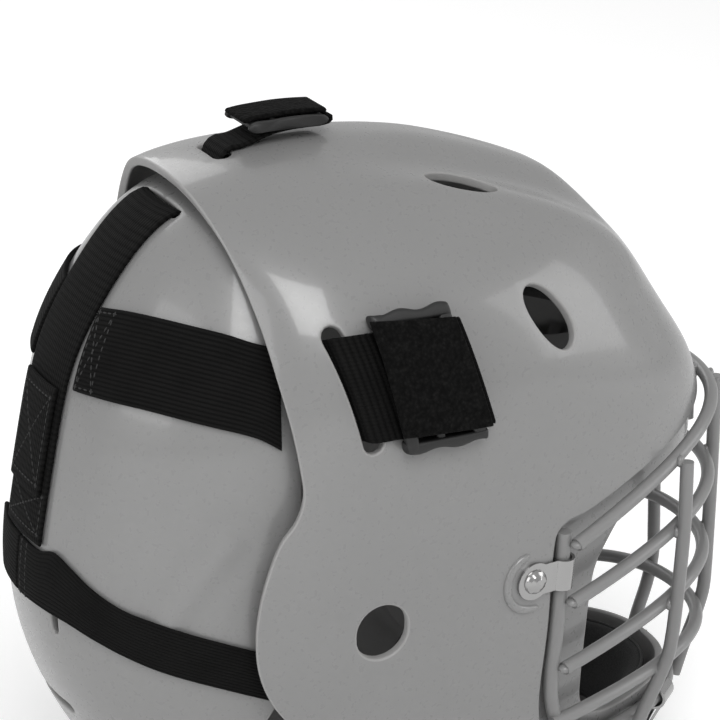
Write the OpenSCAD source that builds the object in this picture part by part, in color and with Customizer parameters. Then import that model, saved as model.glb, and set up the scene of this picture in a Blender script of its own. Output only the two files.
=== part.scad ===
// Hockey goalie mask: composite shell, wire face cage, back plate, foam lining and harness.
// Millimetres, +Z up, face towards -Y, the wearer's right side at -X, resting on its jaw at Z = 0.

/* [Shell] */
// Wall thickness of the shell
shell_wall = 4; // [3:0.5:5]
// How deep the ledge for the cage is set into the shell
ledge_depth = 5; // [4:0.5:6]
// Height of the raised band along the middle of the crown
hump_rise = 8; // [4:1:12]
// Half width of that band
hump_half = 21; // [16:1:28]
// Height of the ridge on each side of the crown
ridge_rise = 4; // [0:1:7]
// Distance of each ridge from the middle
ridge_x = 50; // [44:1:56]
// Height of the lower edge of the brow above the ground, at the side
brow_z = 149; // [142:1:154]
// Height of the upper edge of the chin above the ground
chin_z = 46; // [40:1:54]
// How far behind the middle the rear edge of the shell runs
rear_y = 84; // [78:1:90]

/* [Vents] */
// Length of the oval vent over each temple
temple_vent_l = 29; // [22:1:34]
// Height of that vent
temple_vent_w = 17; // [12:1:20]
// Length of each oval vent in the crown
crown_vent_l = 33; // [24:1:38]
// Width of that vent
crown_vent_w = 17; // [12:1:20]
// Diameter of each ear hole
ear_hole_d = 25; // [20:1:28]

/* [Cage] */
// Diameter of the cage wire
wire_d = 6; // [5:0.5:7]
// Diameter of the frame rod round the cage
rod_d = 6.4; // [5.5:0.1:7.5]
// Distance of the two inner uprights from the middle
inner_upright_x = 24; // [20:1:28]
// Distance of the two outer uprights from the middle
outer_upright_x = 75; // [68:1:78]
// Width of each steel clip that holds the cage
clip_w = 14; // [11:1:17]
// Thickness of its steel
clip_t = 1.2; // [0.8:0.1:1.8]
// Diameter of the domed screw head
screw_head_d = 11; // [9:0.5:12.5]
// Diameter of the screw's shank
screw_d = 5; // [4:0.5:6]

/* [Back plate] */
// Wall thickness of the back plate
plate_wall = 3.5; // [2.5:0.5:4.5]

/* [Harness] */
// Width of the centre webbing
webbing_w = 38; // [32:1:42]
// Width of the top strap
top_webbing_w = 20; // [16:1:26]
// Thickness of the webbing
webbing_t = 1.8; // [1.4:0.1:2.2]
// Width of the side elastic
elastic_w = 34; // [30:1:40]
// Thickness of each strap slider
slider_t = 5; // [4:0.5:6]
// Clearance round straps in their slots
slot_gap = 1; // [0.6:0.1:1.6]

/* [Lining] */
// Thickness of the foam pads
pad_t = 14; // [8:1:16]
// Bore of each lace eyelet
eyelet_bore = 6; // [4.5:0.5:7]

/* [Hidden] */
eps = 0.01;
fit = 0.3;

// Middle of the head in plan, and how square the level sections are
axis_y = 45;
squareness = 2.3;

// Level sections of the shell from the ground up: height, half width, front and rear
SHELL = [
    [-30, 58, -96, 90], [0, 73, -132, 100], [35, 84.5, -152, 112], [75, 94, -158, 128],
    [115, 100.5, -158, 142], [150, 104, -158, 146], [178, 105.5, -157, 133], [200, 106, -151, 118],
    [218, 105, -138, 110], [235, 102.5, -127, 107], [251, 97.5, -117, 105], [267, 88, -101, 105],
    [282, 73, -71, 108], [296, 52, -30, 112], [306, 27, 18, 72], [309, 0, axis_y, axis_y]
];
// Level sections of the back plate
PLATE = [
    [10, 59, -60, 96], [35, 70, -60, 120], [60, 75.5, -60, 138], [95, 83.5, -60, 153], [130, 88, -60, 158],
    [165, 90.5, -60, 152], [200, 91, -60, 145], [228, 85.5, -60, 139], [250, 77, -60, 127], [270, 66.5, -50, 113],
    [286, 52.5, -22, 98], [295, 32, 18, 74], [298, 0, axis_y, axis_y]
];

function smooth(a, b, x) = let(t = min(1, max(0, (x - a) / (b - a)))) t * t * (3 - 2 * t);
function mid(a, b, c, d, f) =
    ((1 - f) ^ 3 * a + (3 * f ^ 3 - 6 * f ^ 2 + 4) * b + (-3 * f ^ 3 + 3 * f ^ 2 + 3 * f + 1) * c + f ^ 3 * d) / 6;
function unit(v) = v / norm(v);

// Distance from the axis to section i at bearing th, where 0 is the front and 90 the wearer's left
function ring_radius(S, i, th) =
    let(last = len(S) - 1)
    i < 0 ? 2 * ring_radius(S, 0, th) - ring_radius(S, 1, th) :
    i == last ? 0 :
    i > last ? -ring_radius(S, 2 * last - i, th + 180) :
    let(c = cos(th), s = sin(th), a = c > 0 ? axis_y - S[i][2] : S[i][3] - axis_y)
    1 / ((abs(c) / a) ^ squareness + (abs(s) / S[i][1]) ^ squareness) ^ (1 / squareness);
function ring_z(S, i) =
    let(last = len(S) - 1)
    i < 0 ? 2 * S[0][0] - S[1][0] : i > last ? S[2 * last - i][0] : S[i][0];

// Point of the plain loft at bearing th and level k
function loft(S, th, k) =
    let(i = min(floor(k), len(S) - 1), f = k - i,
        r = mid(ring_radius(S, i - 1, th), ring_radius(S, i, th), ring_radius(S, i + 1, th),
                ring_radius(S, i + 2, th), f))
    [r * sin(th), axis_y - r * cos(th),
     mid(ring_z(S, i - 1), ring_z(S, i), ring_z(S, i + 1), ring_z(S, i + 2), f)];
// Raised band and side ridges of the crown
function crown_rise(p) =
    let(front = smooth(-114, -80, p[1]))
    hump_rise * exp(-(p[0] / hump_half) ^ 4) * smooth(70, -30, p[1]) * front * smooth(236, 262, p[2])
    + ridge_rise * exp(-((abs(p[0]) - ridge_x) / 12) ^ 2) * smooth(40, -30, p[1]) * smooth(232, 256, p[2]);
function skin(S, th, k) = let(p = loft(S, th, k)) S == SHELL ? p + [0, 0, crown_rise(p)] : p;
// Level at which the loft reaches height z
function level(S, z, lo = 0, hi = 0, n = 16) =
    let(top = hi == 0 ? len(S) - 1 : hi, m = (lo + top) / 2)
    n == 0 ? m : loft(S, 90, m)[2] < z ? level(S, z, m, top, n - 1) : level(S, z, lo, m, n - 1);
// Bearing at which the loft reaches y at level k, on the wearer's left
function bearing(S, y, k, lo = 0, hi = 180, n = 16) =
    let(m = (lo + hi) / 2)
    n == 0 ? m : loft(S, m, k)[1] < y ? bearing(S, y, k, m, hi, n - 1) : bearing(S, y, k, lo, m, n - 1);
function outward(S, th, k) =
    let(h = 0.02, a = skin(S, th + 2, k) - skin(S, th - 2, k),
        b = skin(S, th, min(k + h, len(S) - 1.02)) - skin(S, th, max(0, k - h)))
    unit(cross(a, b));
function off_skin(S, th, k, d) = skin(S, th, k) + d * outward(S, th, k);

// Bearings closer together over the face
function spread(t) = let(u = t - 180) u + 24 * sin(u) * (abs(u) < 180 ? 1 : 0);

// Closed solid inside the skin, drawn in by d
module body_of(S, d, turns, levels) {
    last = len(S) - 1;
    ks = [for (j = [0:levels - 1]) last * (j + 0.25) / levels];
    ths = [for (i = [0:turns - 1]) spread(360 * i / turns)];
    rings = [for (k = ks) [for (th = ths) off_skin(S, th, k, -d)]];
    top = skin(S, 0, last - 0.001) - [0, 0, d];
    foot = [0, axis_y, rings[0][0][2]];
    pts = concat([for (r = rings) each r], [top, foot]);
    n = turns;
    faces = concat(
        [for (j = [0:levels - 2], i = [0:n - 1]) let(a = j * n + i, b = j * n + (i + 1) % n) [a, a + n, b]],
        [for (j = [0:levels - 2], i = [0:n - 1]) let(a = j * n + i, b = j * n + (i + 1) % n) [b, a + n, b + n]],
        [for (i = [0:n - 1]) let(j = (levels - 1) * n) [j + i, levels * n, j + (i + 1) % n]],
        [for (i = [0:n - 1]) [i, (i + 1) % n, levels * n + 1]]
    );
    polyhedron(pts, faces, convexity = 8);
}

// Closed solid from a grid of outer points and a grid of inner points
module slab(outer, inner) {
    r = len(outer);
    c = len(outer[0]);
    pts = concat([for (row = outer) each row], [for (row = inner) each row]);
    o = r * c;
    edge = concat(
        [for (i = [0:c - 2]) [i, i + 1]],
        [for (j = [0:r - 2]) [j * c + c - 1, (j + 1) * c + c - 1]],
        [for (i = [c - 1:-1:1]) [(r - 1) * c + i, (r - 1) * c + i - 1]],
        [for (j = [r - 1:-1:1]) [j * c, (j - 1) * c]]
    );
    faces = concat(
        [for (j = [0:r - 2], i = [0:c - 2]) let(a = j * c + i) [a, a + c, a + 1]],
        [for (j = [0:r - 2], i = [0:c - 2]) let(a = j * c + i) [a + 1, a + c, a + c + 1]],
        [for (j = [0:r - 2], i = [0:c - 2]) let(a = o + j * c + i) [a, a + 1, a + c]],
        [for (j = [0:r - 2], i = [0:c - 2]) let(a = o + j * c + i) [a + 1, a + c + 1, a + c]],
        [for (e = edge) [e[0], e[1], o + e[0]]],
        [for (e = edge) [e[1], o + e[1], o + e[0]]]
    );
    polyhedron(pts, faces, convexity = 4);
}

// Round wire along points; side is a direction never parallel to the wire
module wire(path, d, side, facets = 8) {
    n = len(path);
    tan = [for (i = [0:n - 1]) unit(path[min(i + 1, n - 1)] - path[max(i - 1, 0)])];
    rings = [for (i = [0:n - 1]) let(u = unit(cross(tan[i], side)), v = cross(tan[i], u))
        [for (a = [0:facets - 1]) path[i] + d / 2 * (cos(360 * a / facets) * u + sin(360 * a / facets) * v)]];
    pts = concat([for (r = rings) each r], [path[0], path[n - 1]]);
    m = facets;
    faces = concat(
        [for (j = [0:n - 2], i = [0:m - 1]) let(a = j * m + i, b = j * m + (i + 1) % m) [a, a + m, b]],
        [for (j = [0:n - 2], i = [0:m - 1]) let(a = j * m + i, b = j * m + (i + 1) % m) [b, a + m, b + m]],
        [for (i = [0:m - 1]) [i, (i + 1) % m, n * m]],
        [for (i = [0:m - 1]) [(n - 1) * m + i, n * m + 1, (n - 1) * m + (i + 1) % m]]
    );
    polyhedron(pts, faces, convexity = 4);
}

// Puts its children on the wearer's right side at distance y and height z: +Z outward, +X ahead, +Y up
module seat(S, y, z) {
    k = level(S, z);
    th = -bearing(S, y, k);
    n = outward(S, th, k);
    up = unit([0, 0, 1] - n[2] * n);
    ahead = cross(up, n);
    p = skin(S, th, k);
    multmatrix([
        [ahead[0], up[0], n[0], p[0]], [ahead[1], up[1], n[1], p[1]],
        [ahead[2], up[2], n[2], p[2]], [0, 0, 0, 1]
    ]) children();
}
module both_sides() {
    children();
    mirror([1, 0, 0]) children();
}
// Side view outline [y, z] carried right through the head
module side_cut(outline) {
    rotate([90, 0, 90]) linear_extrude(260, center = true) polygon(outline);
}

// Patch of the skin between bearings; each station gives bearing, lower and upper height
module patch(S, st, near, far, rows = 6, fine = 3, puff = 0) {
    m = (len(st) - 1) * fine;
    grid = [for (i = [0:m]) let(a = min(floor(i / fine), len(st) - 2), f = i / fine - a)
        (1 - f) * st[a] + f * st[a + 1]];
    outer = [for (j = [0:rows]) [for (q = grid) let(z = q[1] + (q[2] - q[1]) * j / rows)
        off_skin(S, q[0], level(S, z), near)]];
    inner = [for (j = [0:rows]) [for (i = [0:m]) let(q = grid[i], z = q[1] + (q[2] - q[1]) * j / rows,
        u = 2 * i / m - 1, v = 2 * j / rows - 1)
        off_skin(S, q[0], level(S, z), far + (near - far) * puff * (1 - (1 - u ^ 6) * (1 - v ^ 4)))]];
    slab(outer, inner);
}

// Patch on the wearer's right between four corners [y, z]: low front, low rear, top rear, top front
module side_patch(S, c, near, far, rows = 6, cols = 6) {
    function at(u, v) = (1 - v) * ((1 - u) * c[1] + u * c[0]) + v * ((1 - u) * c[2] + u * c[3]);
    function lay(u, v, d) = let(q = at(u, v), k = level(S, q[1])) off_skin(S, -bearing(S, q[0], k), k, d);
    outer = [for (j = [0:rows]) [for (i = [0:cols]) lay(i / cols, j / rows, near)]];
    inner = [for (j = [0:rows]) [for (i = [0:cols]) lay(i / cols, j / rows, far)]];
    slab(outer, inner);
}

// Shell outline in side view, clockwise from the crown: rear arch, ear notch, jaw
REAR = [
    [-190, 330], [rear_y + 7, 330], [rear_y + 7, 306], [rear_y + 5, 296], [rear_y + 1, 280], [rear_y - 3, 257],
    [rear_y - 6, 236], [rear_y - 9, 218], [rear_y - 11, 203], [rear_y - 12, 190], [rear_y - 9, 180],
    [rear_y - 3, 171], [rear_y + 2, 157], [rear_y + 5, 143], [rear_y + 6, 128], [rear_y + 4, 112],
    [rear_y - 2, 97], [rear_y - 12, 84], [rear_y - 25, 72], [rear_y - 40, 56], [rear_y - 50, 38],
    [rear_y - 56, 18], [rear_y - 60, 0], [-190, 0]
];
// Sunk ledge round the face opening
LEDGE = [
    [-190, brow_z + 46], [-158, brow_z + 41], [-148, brow_z + 37], [-138, brow_z + 32.5], [-58, brow_z + 8.5],
    [-50, brow_z + 8], [-45.4, brow_z + 4], [-44.2, brow_z - 2], [-44.2, chin_z + 24], [-48, chin_z + 8],
    [-56, chin_z - 7], [-68, chin_z - 15], [-86, chin_z - 19], [-190, chin_z - 19]
];
// Face opening inside the ledge
OPENING = [
    [-190, brow_z + 31], [-158, brow_z + 20], [-133, brow_z + 12], [-112, brow_z + 5.5], [-97, brow_z + 0.5],
    [-88, brow_z - 3], [-80, brow_z - 12], [-74, brow_z - 22], [-72, brow_z - 34], [-72, chin_z + 26],
    [-74, chin_z + 12], [-80, chin_z + 4], [-90, chin_z], [-190, chin_z]
];
ledge_wall = ledge_depth + shell_wall;
side_slot = [[43, 210], [56, 253]];
slot_w = 9;
top_slot_y = 66;
ear_at = [37, 125];
clip_low = [-123.3, 15];
clip_high = [-34.5, 133];
eyelet_at = [[-50, 13], [-8, 13]];

module oval(long, wide, turn) {
    rotate([0, 0, turn]) hull() for (s = [-1, 1]) translate([0, s * (long - wide) * 0.38, -12])
        scale([1, 1 + 0.24 * (long - wide) / wide, 1]) cylinder(d = wide, h = 24, $fn = 32);
}
module eyelet_seats() {
    both_sides() for (e = eyelet_at) seat(SHELL, e[0], e[1]) children();
}
module clip_seats() {
    both_sides() {
        seat(SHELL, clip_high[0], clip_high[1]) children();
        seat(SHELL, clip_low[0], clip_low[1]) rotate([0, 0, 90]) children();
    }
}

module mask_shell() {
    color("#8b8c8d") difference() {
        intersection() {
            body_of(SHELL, 0, 84, 34);
            side_cut(REAR);
        }
        difference() {
            body_of(SHELL, shell_wall, 66, 28);
            side_cut([for (q = LEDGE) q + [5, q[1] > 100 ? 5 : -5]]);
        }
        difference() {
            side_cut(LEDGE);
            body_of(SHELL, ledge_depth, 72, 30);
        }
        body_of(SHELL, ledge_wall, 60, 26);
        side_cut(OPENING);
        both_sides() {
            seat(SHELL, -45, 245) oval(temple_vent_l + 4, temple_vent_w, 30);
            seat(SHELL, -27, 290) oval(crown_vent_l, crown_vent_w, 8);
            hull() for (s = side_slot) translate([-120, s[0], s[1]]) rotate([0, 90, 0])
                cylinder(d = slot_w, h = 60, $fn = 24);
            hull() for (s = [-1, 1]) translate([-120, ear_at[0], ear_at[1] + s]) rotate([0, 90, 0])
                cylinder(d = ear_hole_d - 2, h = 60, $fn = 32);
        }
        hull() for (s = [-1, 1]) translate([s * (top_webbing_w / 2 - 3 + slot_gap), top_slot_y, 270])
            cylinder(d = 8, h = 50, $fn = 24);
        clip_seats() {
            translate([0, 0, -12]) cylinder(d = screw_d + fit, h = 24, $fn = 24);
            translate([0, 0, -shell_wall - 5]) cylinder(d = 11.6, h = 5, $fn = 24);
        }
        eyelet_seats() {
            translate([0, 0, -12]) cylinder(d = eyelet_bore + 3 + fit, h = 24, $fn = 24);
            translate([0, 0, -shell_wall - 3]) cylinder(d = eyelet_bore + 7, h = 3, $fn = 24);
        }
    }
}

// The cage narrows towards the chin: half width at height z, and how far its front is drawn back
cage_top = 98;
cage_taper = 19;
function cage_half(z) = cage_top - cage_taper * min(1, max(0, (146 - z) / 108)) ^ 1.5;
function cage_back(z) = 10.7 * min(1, max(0, (70 - z) / 32)) ^ 2;
// Point on the cage at share u of the half width and height z, pushed outward
function cage_plan(u, z) = [u * cage_half(z), cage_back(z) - 161 + 40 * u ^ 2 + 67 * u ^ 4];
function cage_at(u, z, push = 0) =
    let(p = cage_plan(u, z), t = unit(cage_plan(u + 0.02, z) - cage_plan(u - 0.02, z)))
    [p[0] + push * t[1], p[1] - push * t[0], z];
// Crossbar in its tilted plane: height at the middle and slope
function bar(u, z0, k) = cage_at(u, z0 + k * (cage_plan(u, z0)[1] + 161));
weld = 0.4;

module brow_wire() {
    color("#858687") wire([for (i = [-16:16]) bar(i / 16, 182.4, -0.34)], wire_d, [0, 0, 1], 10);
}
module crossbars() {
    color("#858687") for (b = [[144.4, -0.24], [107, -0.2], [70, -0.12]])
        wire([for (i = [-14:14]) bar(i / 14, b[0], b[1])], wire_d, [0, 0, 1], 8);
}
rod_z = 38;
rod_seat = ledge_depth - rod_d / 2 - 2.5 * fit;
// Upright at share u: over the crossbars, then in to the rod under the chin
function upright(u, top) =
    let(out = (rod_d + wire_d) / 2 - weld - rod_seat, foot = cage_plan(u, rod_z),
        th = -atan2(-foot[0], axis_y - foot[1]))
    [for (i = [0:11]) let(z = top + (rod_z - 3 - top) * i / 11, w = smooth(82, 42, z))
        (1 - w) * cage_at(u, z, wire_d - weld) + w * off_skin(SHELL, th, level(SHELL, z), out)];
module uprights() {
    color("#858687") both_sides() {
        wire(upright(-inner_upright_x / cage_top, 180), wire_d, [1, 0, 0], 10);
        wire(upright(-outer_upright_x / cage_top, 166), wire_d, [1, 0, 0], 10);
        wire([for (z = [184, 171, 159]) cage_at(-0.2, z, z == 184 ? 1.6 - wire_d : weld - wire_d)],
            wire_d, [1, 0, 0], 12);
    }
}

// Side view line of the frame rod from its upper end to the chin, then bearings round the chin
ROD = [[-50, 151.5], [-50, 140], [-50, 120], [-50, 100], [-50, 82], [-52, 68], [-58, 54], [-68, 45], [-82, 40]];
function rod_side() = concat(
    [for (q = ROD) let(k = level(SHELL, q[1])) off_skin(SHELL, -bearing(SHELL, q[0], k), k, -rod_seat)],
    [for (th = [-25.5:4.25:-4]) off_skin(SHELL, th, level(SHELL, rod_z), -rod_seat)]);
module cage_frame_rod() {
    half = rod_side();
    n = len(half);
    chin = off_skin(SHELL, 0, level(SHELL, rod_z), -rod_seat);
    color("#858687") wire(concat(half, [chin], [for (i = [n - 1:-1:0]) [-half[i][0], half[i][1], half[i][2]]]),
        rod_d, [0.2, 0.5, 0.3], 10);
}

// Where the rod lies from the seat of a clip screw: how far ahead of it or over it, and how high off the seat
function rod_from(y, z, p, above) =
    let(k = level(SHELL, z), th = -bearing(SHELL, y, k), n = outward(SHELL, th, k), d = p - skin(SHELL, th, k),
        up = unit([0, 0, 1] - n[2] * n))
    [abs(d * (above ? up : cross(up, n))), d * n];
function rod_near_high() = let(k = level(SHELL, clip_high[1] + 1))
    rod_from(clip_high[0], clip_high[1], off_skin(SHELL, -bearing(SHELL, -50, k), k, -rod_seat), false);
function rod_near_low() = let(k = level(SHELL, clip_low[1]), q = bearing(SHELL, clip_low[0], k))
    rod_from(clip_low[0], clip_low[1], off_skin(SHELL, -q, level(SHELL, rod_z), -rod_seat), true);
module clip(rod) {
    r = rod_d / 2 + 2.6 * fit;
    translate([0, 0, 0.1]) difference() {
        union() {
            cylinder(d = clip_w + 3, h = clip_t, $fn = 48);
            translate([0, -clip_w / 2, 0]) cube([rod[0] - r + 0.7, clip_w, clip_t]);
            translate([rod[0], clip_w / 2, rod[1]]) rotate([90, 0, 0]) linear_extrude(clip_w) difference() {
                circle(r + clip_t, $fn = 48);
                translate([-20, -41.4]) square([40, 40]);
            }
        }
        translate([0, 0, -1]) cylinder(d = screw_d + fit, h = 4, $fn = 32);
        translate([rod[0], 0, rod[1]]) rotate([90, 0, 0]) cylinder(r = r, h = clip_w + 2, center = true, $fn = 48);
    }
}
module cage_clips() {
    color("#c9cbce") both_sides() {
        seat(SHELL, clip_high[0], clip_high[1]) clip(rod_near_high());
        seat(SHELL, clip_low[0], clip_low[1]) rotate([0, 0, 90]) clip(rod_near_low());
    }
}
module clip_screws() {
    color("#d4d6d9") clip_seats() translate([0, 0, clip_t + 0.1]) rotate_extrude($fn = 48) polygon([
        [0, 3.4], [screw_head_d * 0.2, 3.1], [screw_head_d * 0.35, 2.3], [screw_head_d * 0.46, 1.2],
        [screw_head_d / 2, 0.3], [screw_head_d / 2, 0], [screw_d / 2, 0],
        [screw_d / 2, -clip_t - shell_wall - 4.5], [0, -clip_t - shell_wall - 4.5]
    ]);
}
module clip_nuts() {
    color("#b9bbbe") clip_seats() translate([0, 0, -shell_wall - 3.9]) difference() {
        union() {
            cylinder(d = 9.2, h = 3, $fn = 6);
            translate([0, 0, 2.6]) cylinder(d = 10.4, h = 1, $fn = 40);
        }
        translate([0, 0, -1]) cylinder(d = screw_d, h = 6, $fn = 32);
    }
}
module lace_eyelets() {
    color("#2b2b2c") eyelet_seats() difference() {
        union() {
            translate([0, 0, 0.1]) cylinder(d = eyelet_bore + 6, h = 1.2, $fn = 48);
            translate([0, 0, -shell_wall - 1.4]) cylinder(d = eyelet_bore + 6, h = 1.2, $fn = 48);
            translate([0, 0, -shell_wall - 1]) cylinder(d = eyelet_bore + 3, h = shell_wall + 2, $fn = 48);
        }
        translate([0, 0, -12]) cylinder(d = eyelet_bore, h = 24, $fn = 48);
    }
}

lining = shell_wall + 0.8;
module forehead_pad() {
    color("#2a2a2b") patch(SHELL, [for (th = [-40:20:40]) [th, brow_z + 55, brow_z + (abs(th) > 30 ? 89 : 91)]],
        -lining - 0.4, -lining - pad_t, 6, 3, 0.35);
}
// Level above k = lo at which the loft comes in to radius r
function level_in(S, th, r, lo, hi, n = 14) = let(m = (lo + hi) / 2, p = loft(S, th, m))
    n == 0 ? m : norm([p[0], p[1] - axis_y]) > r ? level_in(S, th, r, m, hi, n - 1) : level_in(S, th, r, lo, m, n - 1);
// Rounded pad under the crown: half length fore and aft and half width, about a point y
module crown_pad() {
    n = 10;
    mid_y = 15;
    reach = [45, 41];
    function lay(i, j, d) = let(u = 2 * i / n - 1, v = 2 * j / n - 1,
        x = reach[1] * u * sqrt(1 - v * v / 2.3), y = mid_y - reach[0] * v * sqrt(1 - u * u / 2.3),
        th = atan2(x, axis_y - y), k = level_in(SHELL, th, norm([x, y - axis_y]), 10, len(SHELL) - 1))
        off_skin(SHELL, th, min(k, len(SHELL) - 1.1), d);
    color("#2a2a2b") slab([for (j = [n:-1:0]) [for (i = [0:n]) lay(i, j, -lining - 0.4)]],
        [for (j = [n:-1:0]) [for (i = [0:n]) let(u = 2 * i / n - 1, v = 2 * j / n - 1)
            lay(i, j, -lining - pad_t + 2 + 4 * (1 - (1 - u ^ 4) * (1 - v ^ 4)))]]);
}
module temple_pad_right() {
    color("#2a2a2b") patch(SHELL, [[-84, 196, 236], [-74, 194, 238], [-62, 194, 236], [-52, 198, 226]],
        -lining, -lining - pad_t, 6, 3, 0.35);
}
module cheek_pad_right() {
    color("#2a2a2b") patch(SHELL, [[-78, 60, 104], [-72, 54, 118], [-65, 52, 118], [-58, 56, 116]],
        -lining, -lining - pad_t - 6, 6, 3, 0.35);
}
module chin_pad() {
    color("#2a2a2b") patch(SHELL, [[-26, 5, 42], [-13, 5, 42], [0, 5, 42], [13, 5, 42], [26, 5, 42]],
        -ledge_wall - 2.5, -ledge_wall - 2.5 - pad_t + 5.7, 5, 3, 0.35);
}

// Flat band seen edge on: line of [y, z] points, thickness upward, width across the head
module cross_band(line, t, w) {
    n = len(line);
    tan = [for (i = [0:n - 1]) unit(line[min(i + 1, n - 1)] - line[max(i - 1, 0)])];
    rotate([90, 0, 90]) linear_extrude(w, center = true)
        polygon(concat(line, [for (i = [n - 1:-1:0]) line[i] + t * [tan[i][1], -tan[i][0]]]));
}
// Side view line of the top strap, from under the arch out through its slot and forward
TOP_RUN = [
    [80, 293.2], [74, 294.9], [69.2, 297.8], [66.6, 302.4], [65.2, 305.8], [62.4, 308], [58, 308.2], [52, 309.8],
    [45, 312], [37, 313.2], [28, 313.5], [21.4, 313.5], [17.6, 314.4], [16.4, 316.4], [17.6, 318.2], [19.6, 318.7]
];
TAIL_RUN = [[57, 318.2], [52, 318.9], [44, 319.4], [36, 319.7], [28, 319.5], [22, 319.1], [19.8, 318.9]];
module top_strap() {
    color("#1b1b1c") cross_band([for (q = TOP_RUN) q], webbing_t, top_webbing_w);
}
module top_tail() {
    color("#1b1b1c") cross_band([for (i = [0:len(TAIL_RUN) - 1]) TAIL_RUN[i]], webbing_t + 0.4, top_webbing_w);
}
module slider_bar(y, z) {
    hull() for (s = [-1, 1]) translate([0, y + s * 1.5, z]) rotate([0, 90, 0])
        cylinder(d = 3, h = top_webbing_w + 5, center = true, $fn = 24);
}
module top_slider() {
    rail = [
        [21.4, 315.6], [24, 315.1], [38, 315], [48, 314.9], [54, 315], [55.8, 316.3], [55.4, 318], [53, 319.1],
        [46, 319.4], [38, 319.8], [30, 319.7], [24, 319.2], [21.4, 318.6], [20.2, 317.2]
    ];
    color("#202021") {
        for (s = [-1, 1]) translate([s * (top_webbing_w / 2 + 2.4), 0, 0]) rotate([90, 0, 90])
            linear_extrude(3, center = true) polygon(rail);
        slider_bar(23.8, 317);
        slider_bar(38, 317);
        slider_bar(51.6, 317);
    }
}

module side_slider_right() {
    color("#202021") {
        side_patch(SHELL, [[-5, 206], [1, 206], [13.5, 258], [7.5, 258]], slider_t + 2, 3.2, 8, 2);
        side_patch(SHELL, [[13, 206], [17, 206], [29, 258], [25, 258]], slider_t + 1, 3.2, 8, 2);
        side_patch(SHELL, [[25.5, 206], [30.5, 206], [41.5, 258], [36.5, 258]], slider_t + 2, 3.2, 8, 2);
        side_patch(SHELL, [[-5, 205.6], [30.5, 205.6], [31.5, 209.6], [-4, 209.6]], slider_t + 2.4, 0.3, 2, 8);
        side_patch(SHELL, [[6.5, 254.2], [40.7, 254.2], [41.5, 258.4], [7.5, 258.4]], slider_t + 2.4, 0.3, 2, 8);
    }
}
// Band on the wearer's right edge on: line of [y at its low edge, height over the skin]; lean tips the top back
module side_band(line, t, low, high, lean, rows = 8) {
    n = len(line);
    tan = [for (i = [0:n - 1]) unit(line[min(i + 1, n - 1)] - line[max(i - 1, 0)])];
    function lay(i, j, s) = let(q = line[i] + s * t / 2 * [tan[i][1], -tan[i][0]], z = low + (high - low) * j / rows,
        k = level(SHELL, z)) off_skin(SHELL, -bearing(SHELL, q[0] + lean * j / rows, k), k, q[1]);
    slab([for (j = [0:rows]) [for (i = [0:n - 1]) lay(i, j, 1)]],
        [for (j = [0:rows]) [for (i = [0:n - 1]) lay(i, j, -1)]]);
}
// Run of the side strap from inside the shell, out through its slot, forward and round the slider's front bar
SIDE_RUN = [
    [61, -5.8], [54, -5.7], [48.6, -5.4], [46, -4.4], [44.8, -2.4], [44.2, -0.2], [42.6, 1.2], [39.6, 1.6],
    [30, 1.6], [18, 1.6], [6, 1.6], [-5, 1.6], [-7.4, 2.6], [-8.8, 4.2], [-9, 5.4]
];
module side_strap_right() {
    color("#1b1b1c") side_band(SIDE_RUN, webbing_t, 210.6, 253, 12.4, 8);
}
module side_tail_right() {
    color("#1b1b1c") side_patch(SHELL, [[-6, 211], [34, 213], [43.5, 256], [6.6, 253]], slider_t + 4.8,
        slider_t + 2.7, 8, 8);
}

// Side view outline of the back plate
PLATE_EDGE = [
    [74, 330], [200, 330], [200, 46], [140, 46], [114, 52], [92, 64], [79, 82], [72, 100], [69, 125],
    [67, 190], [66, 230], [68, 262], [71, 285]
];
module backplate() {
    color("#8b8c8d") difference() {
        intersection() {
            body_of(PLATE, 0, 66, 27);
            side_cut(PLATE_EDGE);
        }
        body_of(PLATE, plate_wall, 54, 22);
        hull() for (s = [-1, 1]) translate([s * (webbing_w / 2 - 1), 91, 286]) rotate([-42, 0, 0])
            cylinder(d = 5, h = 30, center = true, $fn = 24);
        hull() for (s = [-1, 1]) translate([s * (webbing_w / 2 - 1), 150, 76]) rotate([-105, 0, 0])
            cylinder(d = 5, h = 40, center = true, $fn = 24);
        both_sides() {
            hull() for (z = [224, 250]) translate([-120, 69, z]) rotate([0, 90, 0]) cylinder(d = 4, h = 70, $fn = 24);
            hull() for (z = [100, 116]) translate([-120, 72, z]) rotate([0, 90, 0]) cylinder(d = 4, h = 70, $fn = 24);
            hull() for (z = [118, 142]) translate([-28, 120, z]) rotate([-90, 0, 0]) cylinder(d = 4, h = 60, $fn = 24);
        }
    }
}
module backplate_pad() {
    color("#2a2a2b") patch(PLATE, [[128, 110, 226], [145, 92, 240], [162, 84, 248], [180, 82, 250],
        [198, 84, 248], [215, 92, 240], [232, 110, 226]], -plate_wall - 0.8, -plate_wall - 0.8 - pad_t + 2, 7, 3, 0.35);
}
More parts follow.
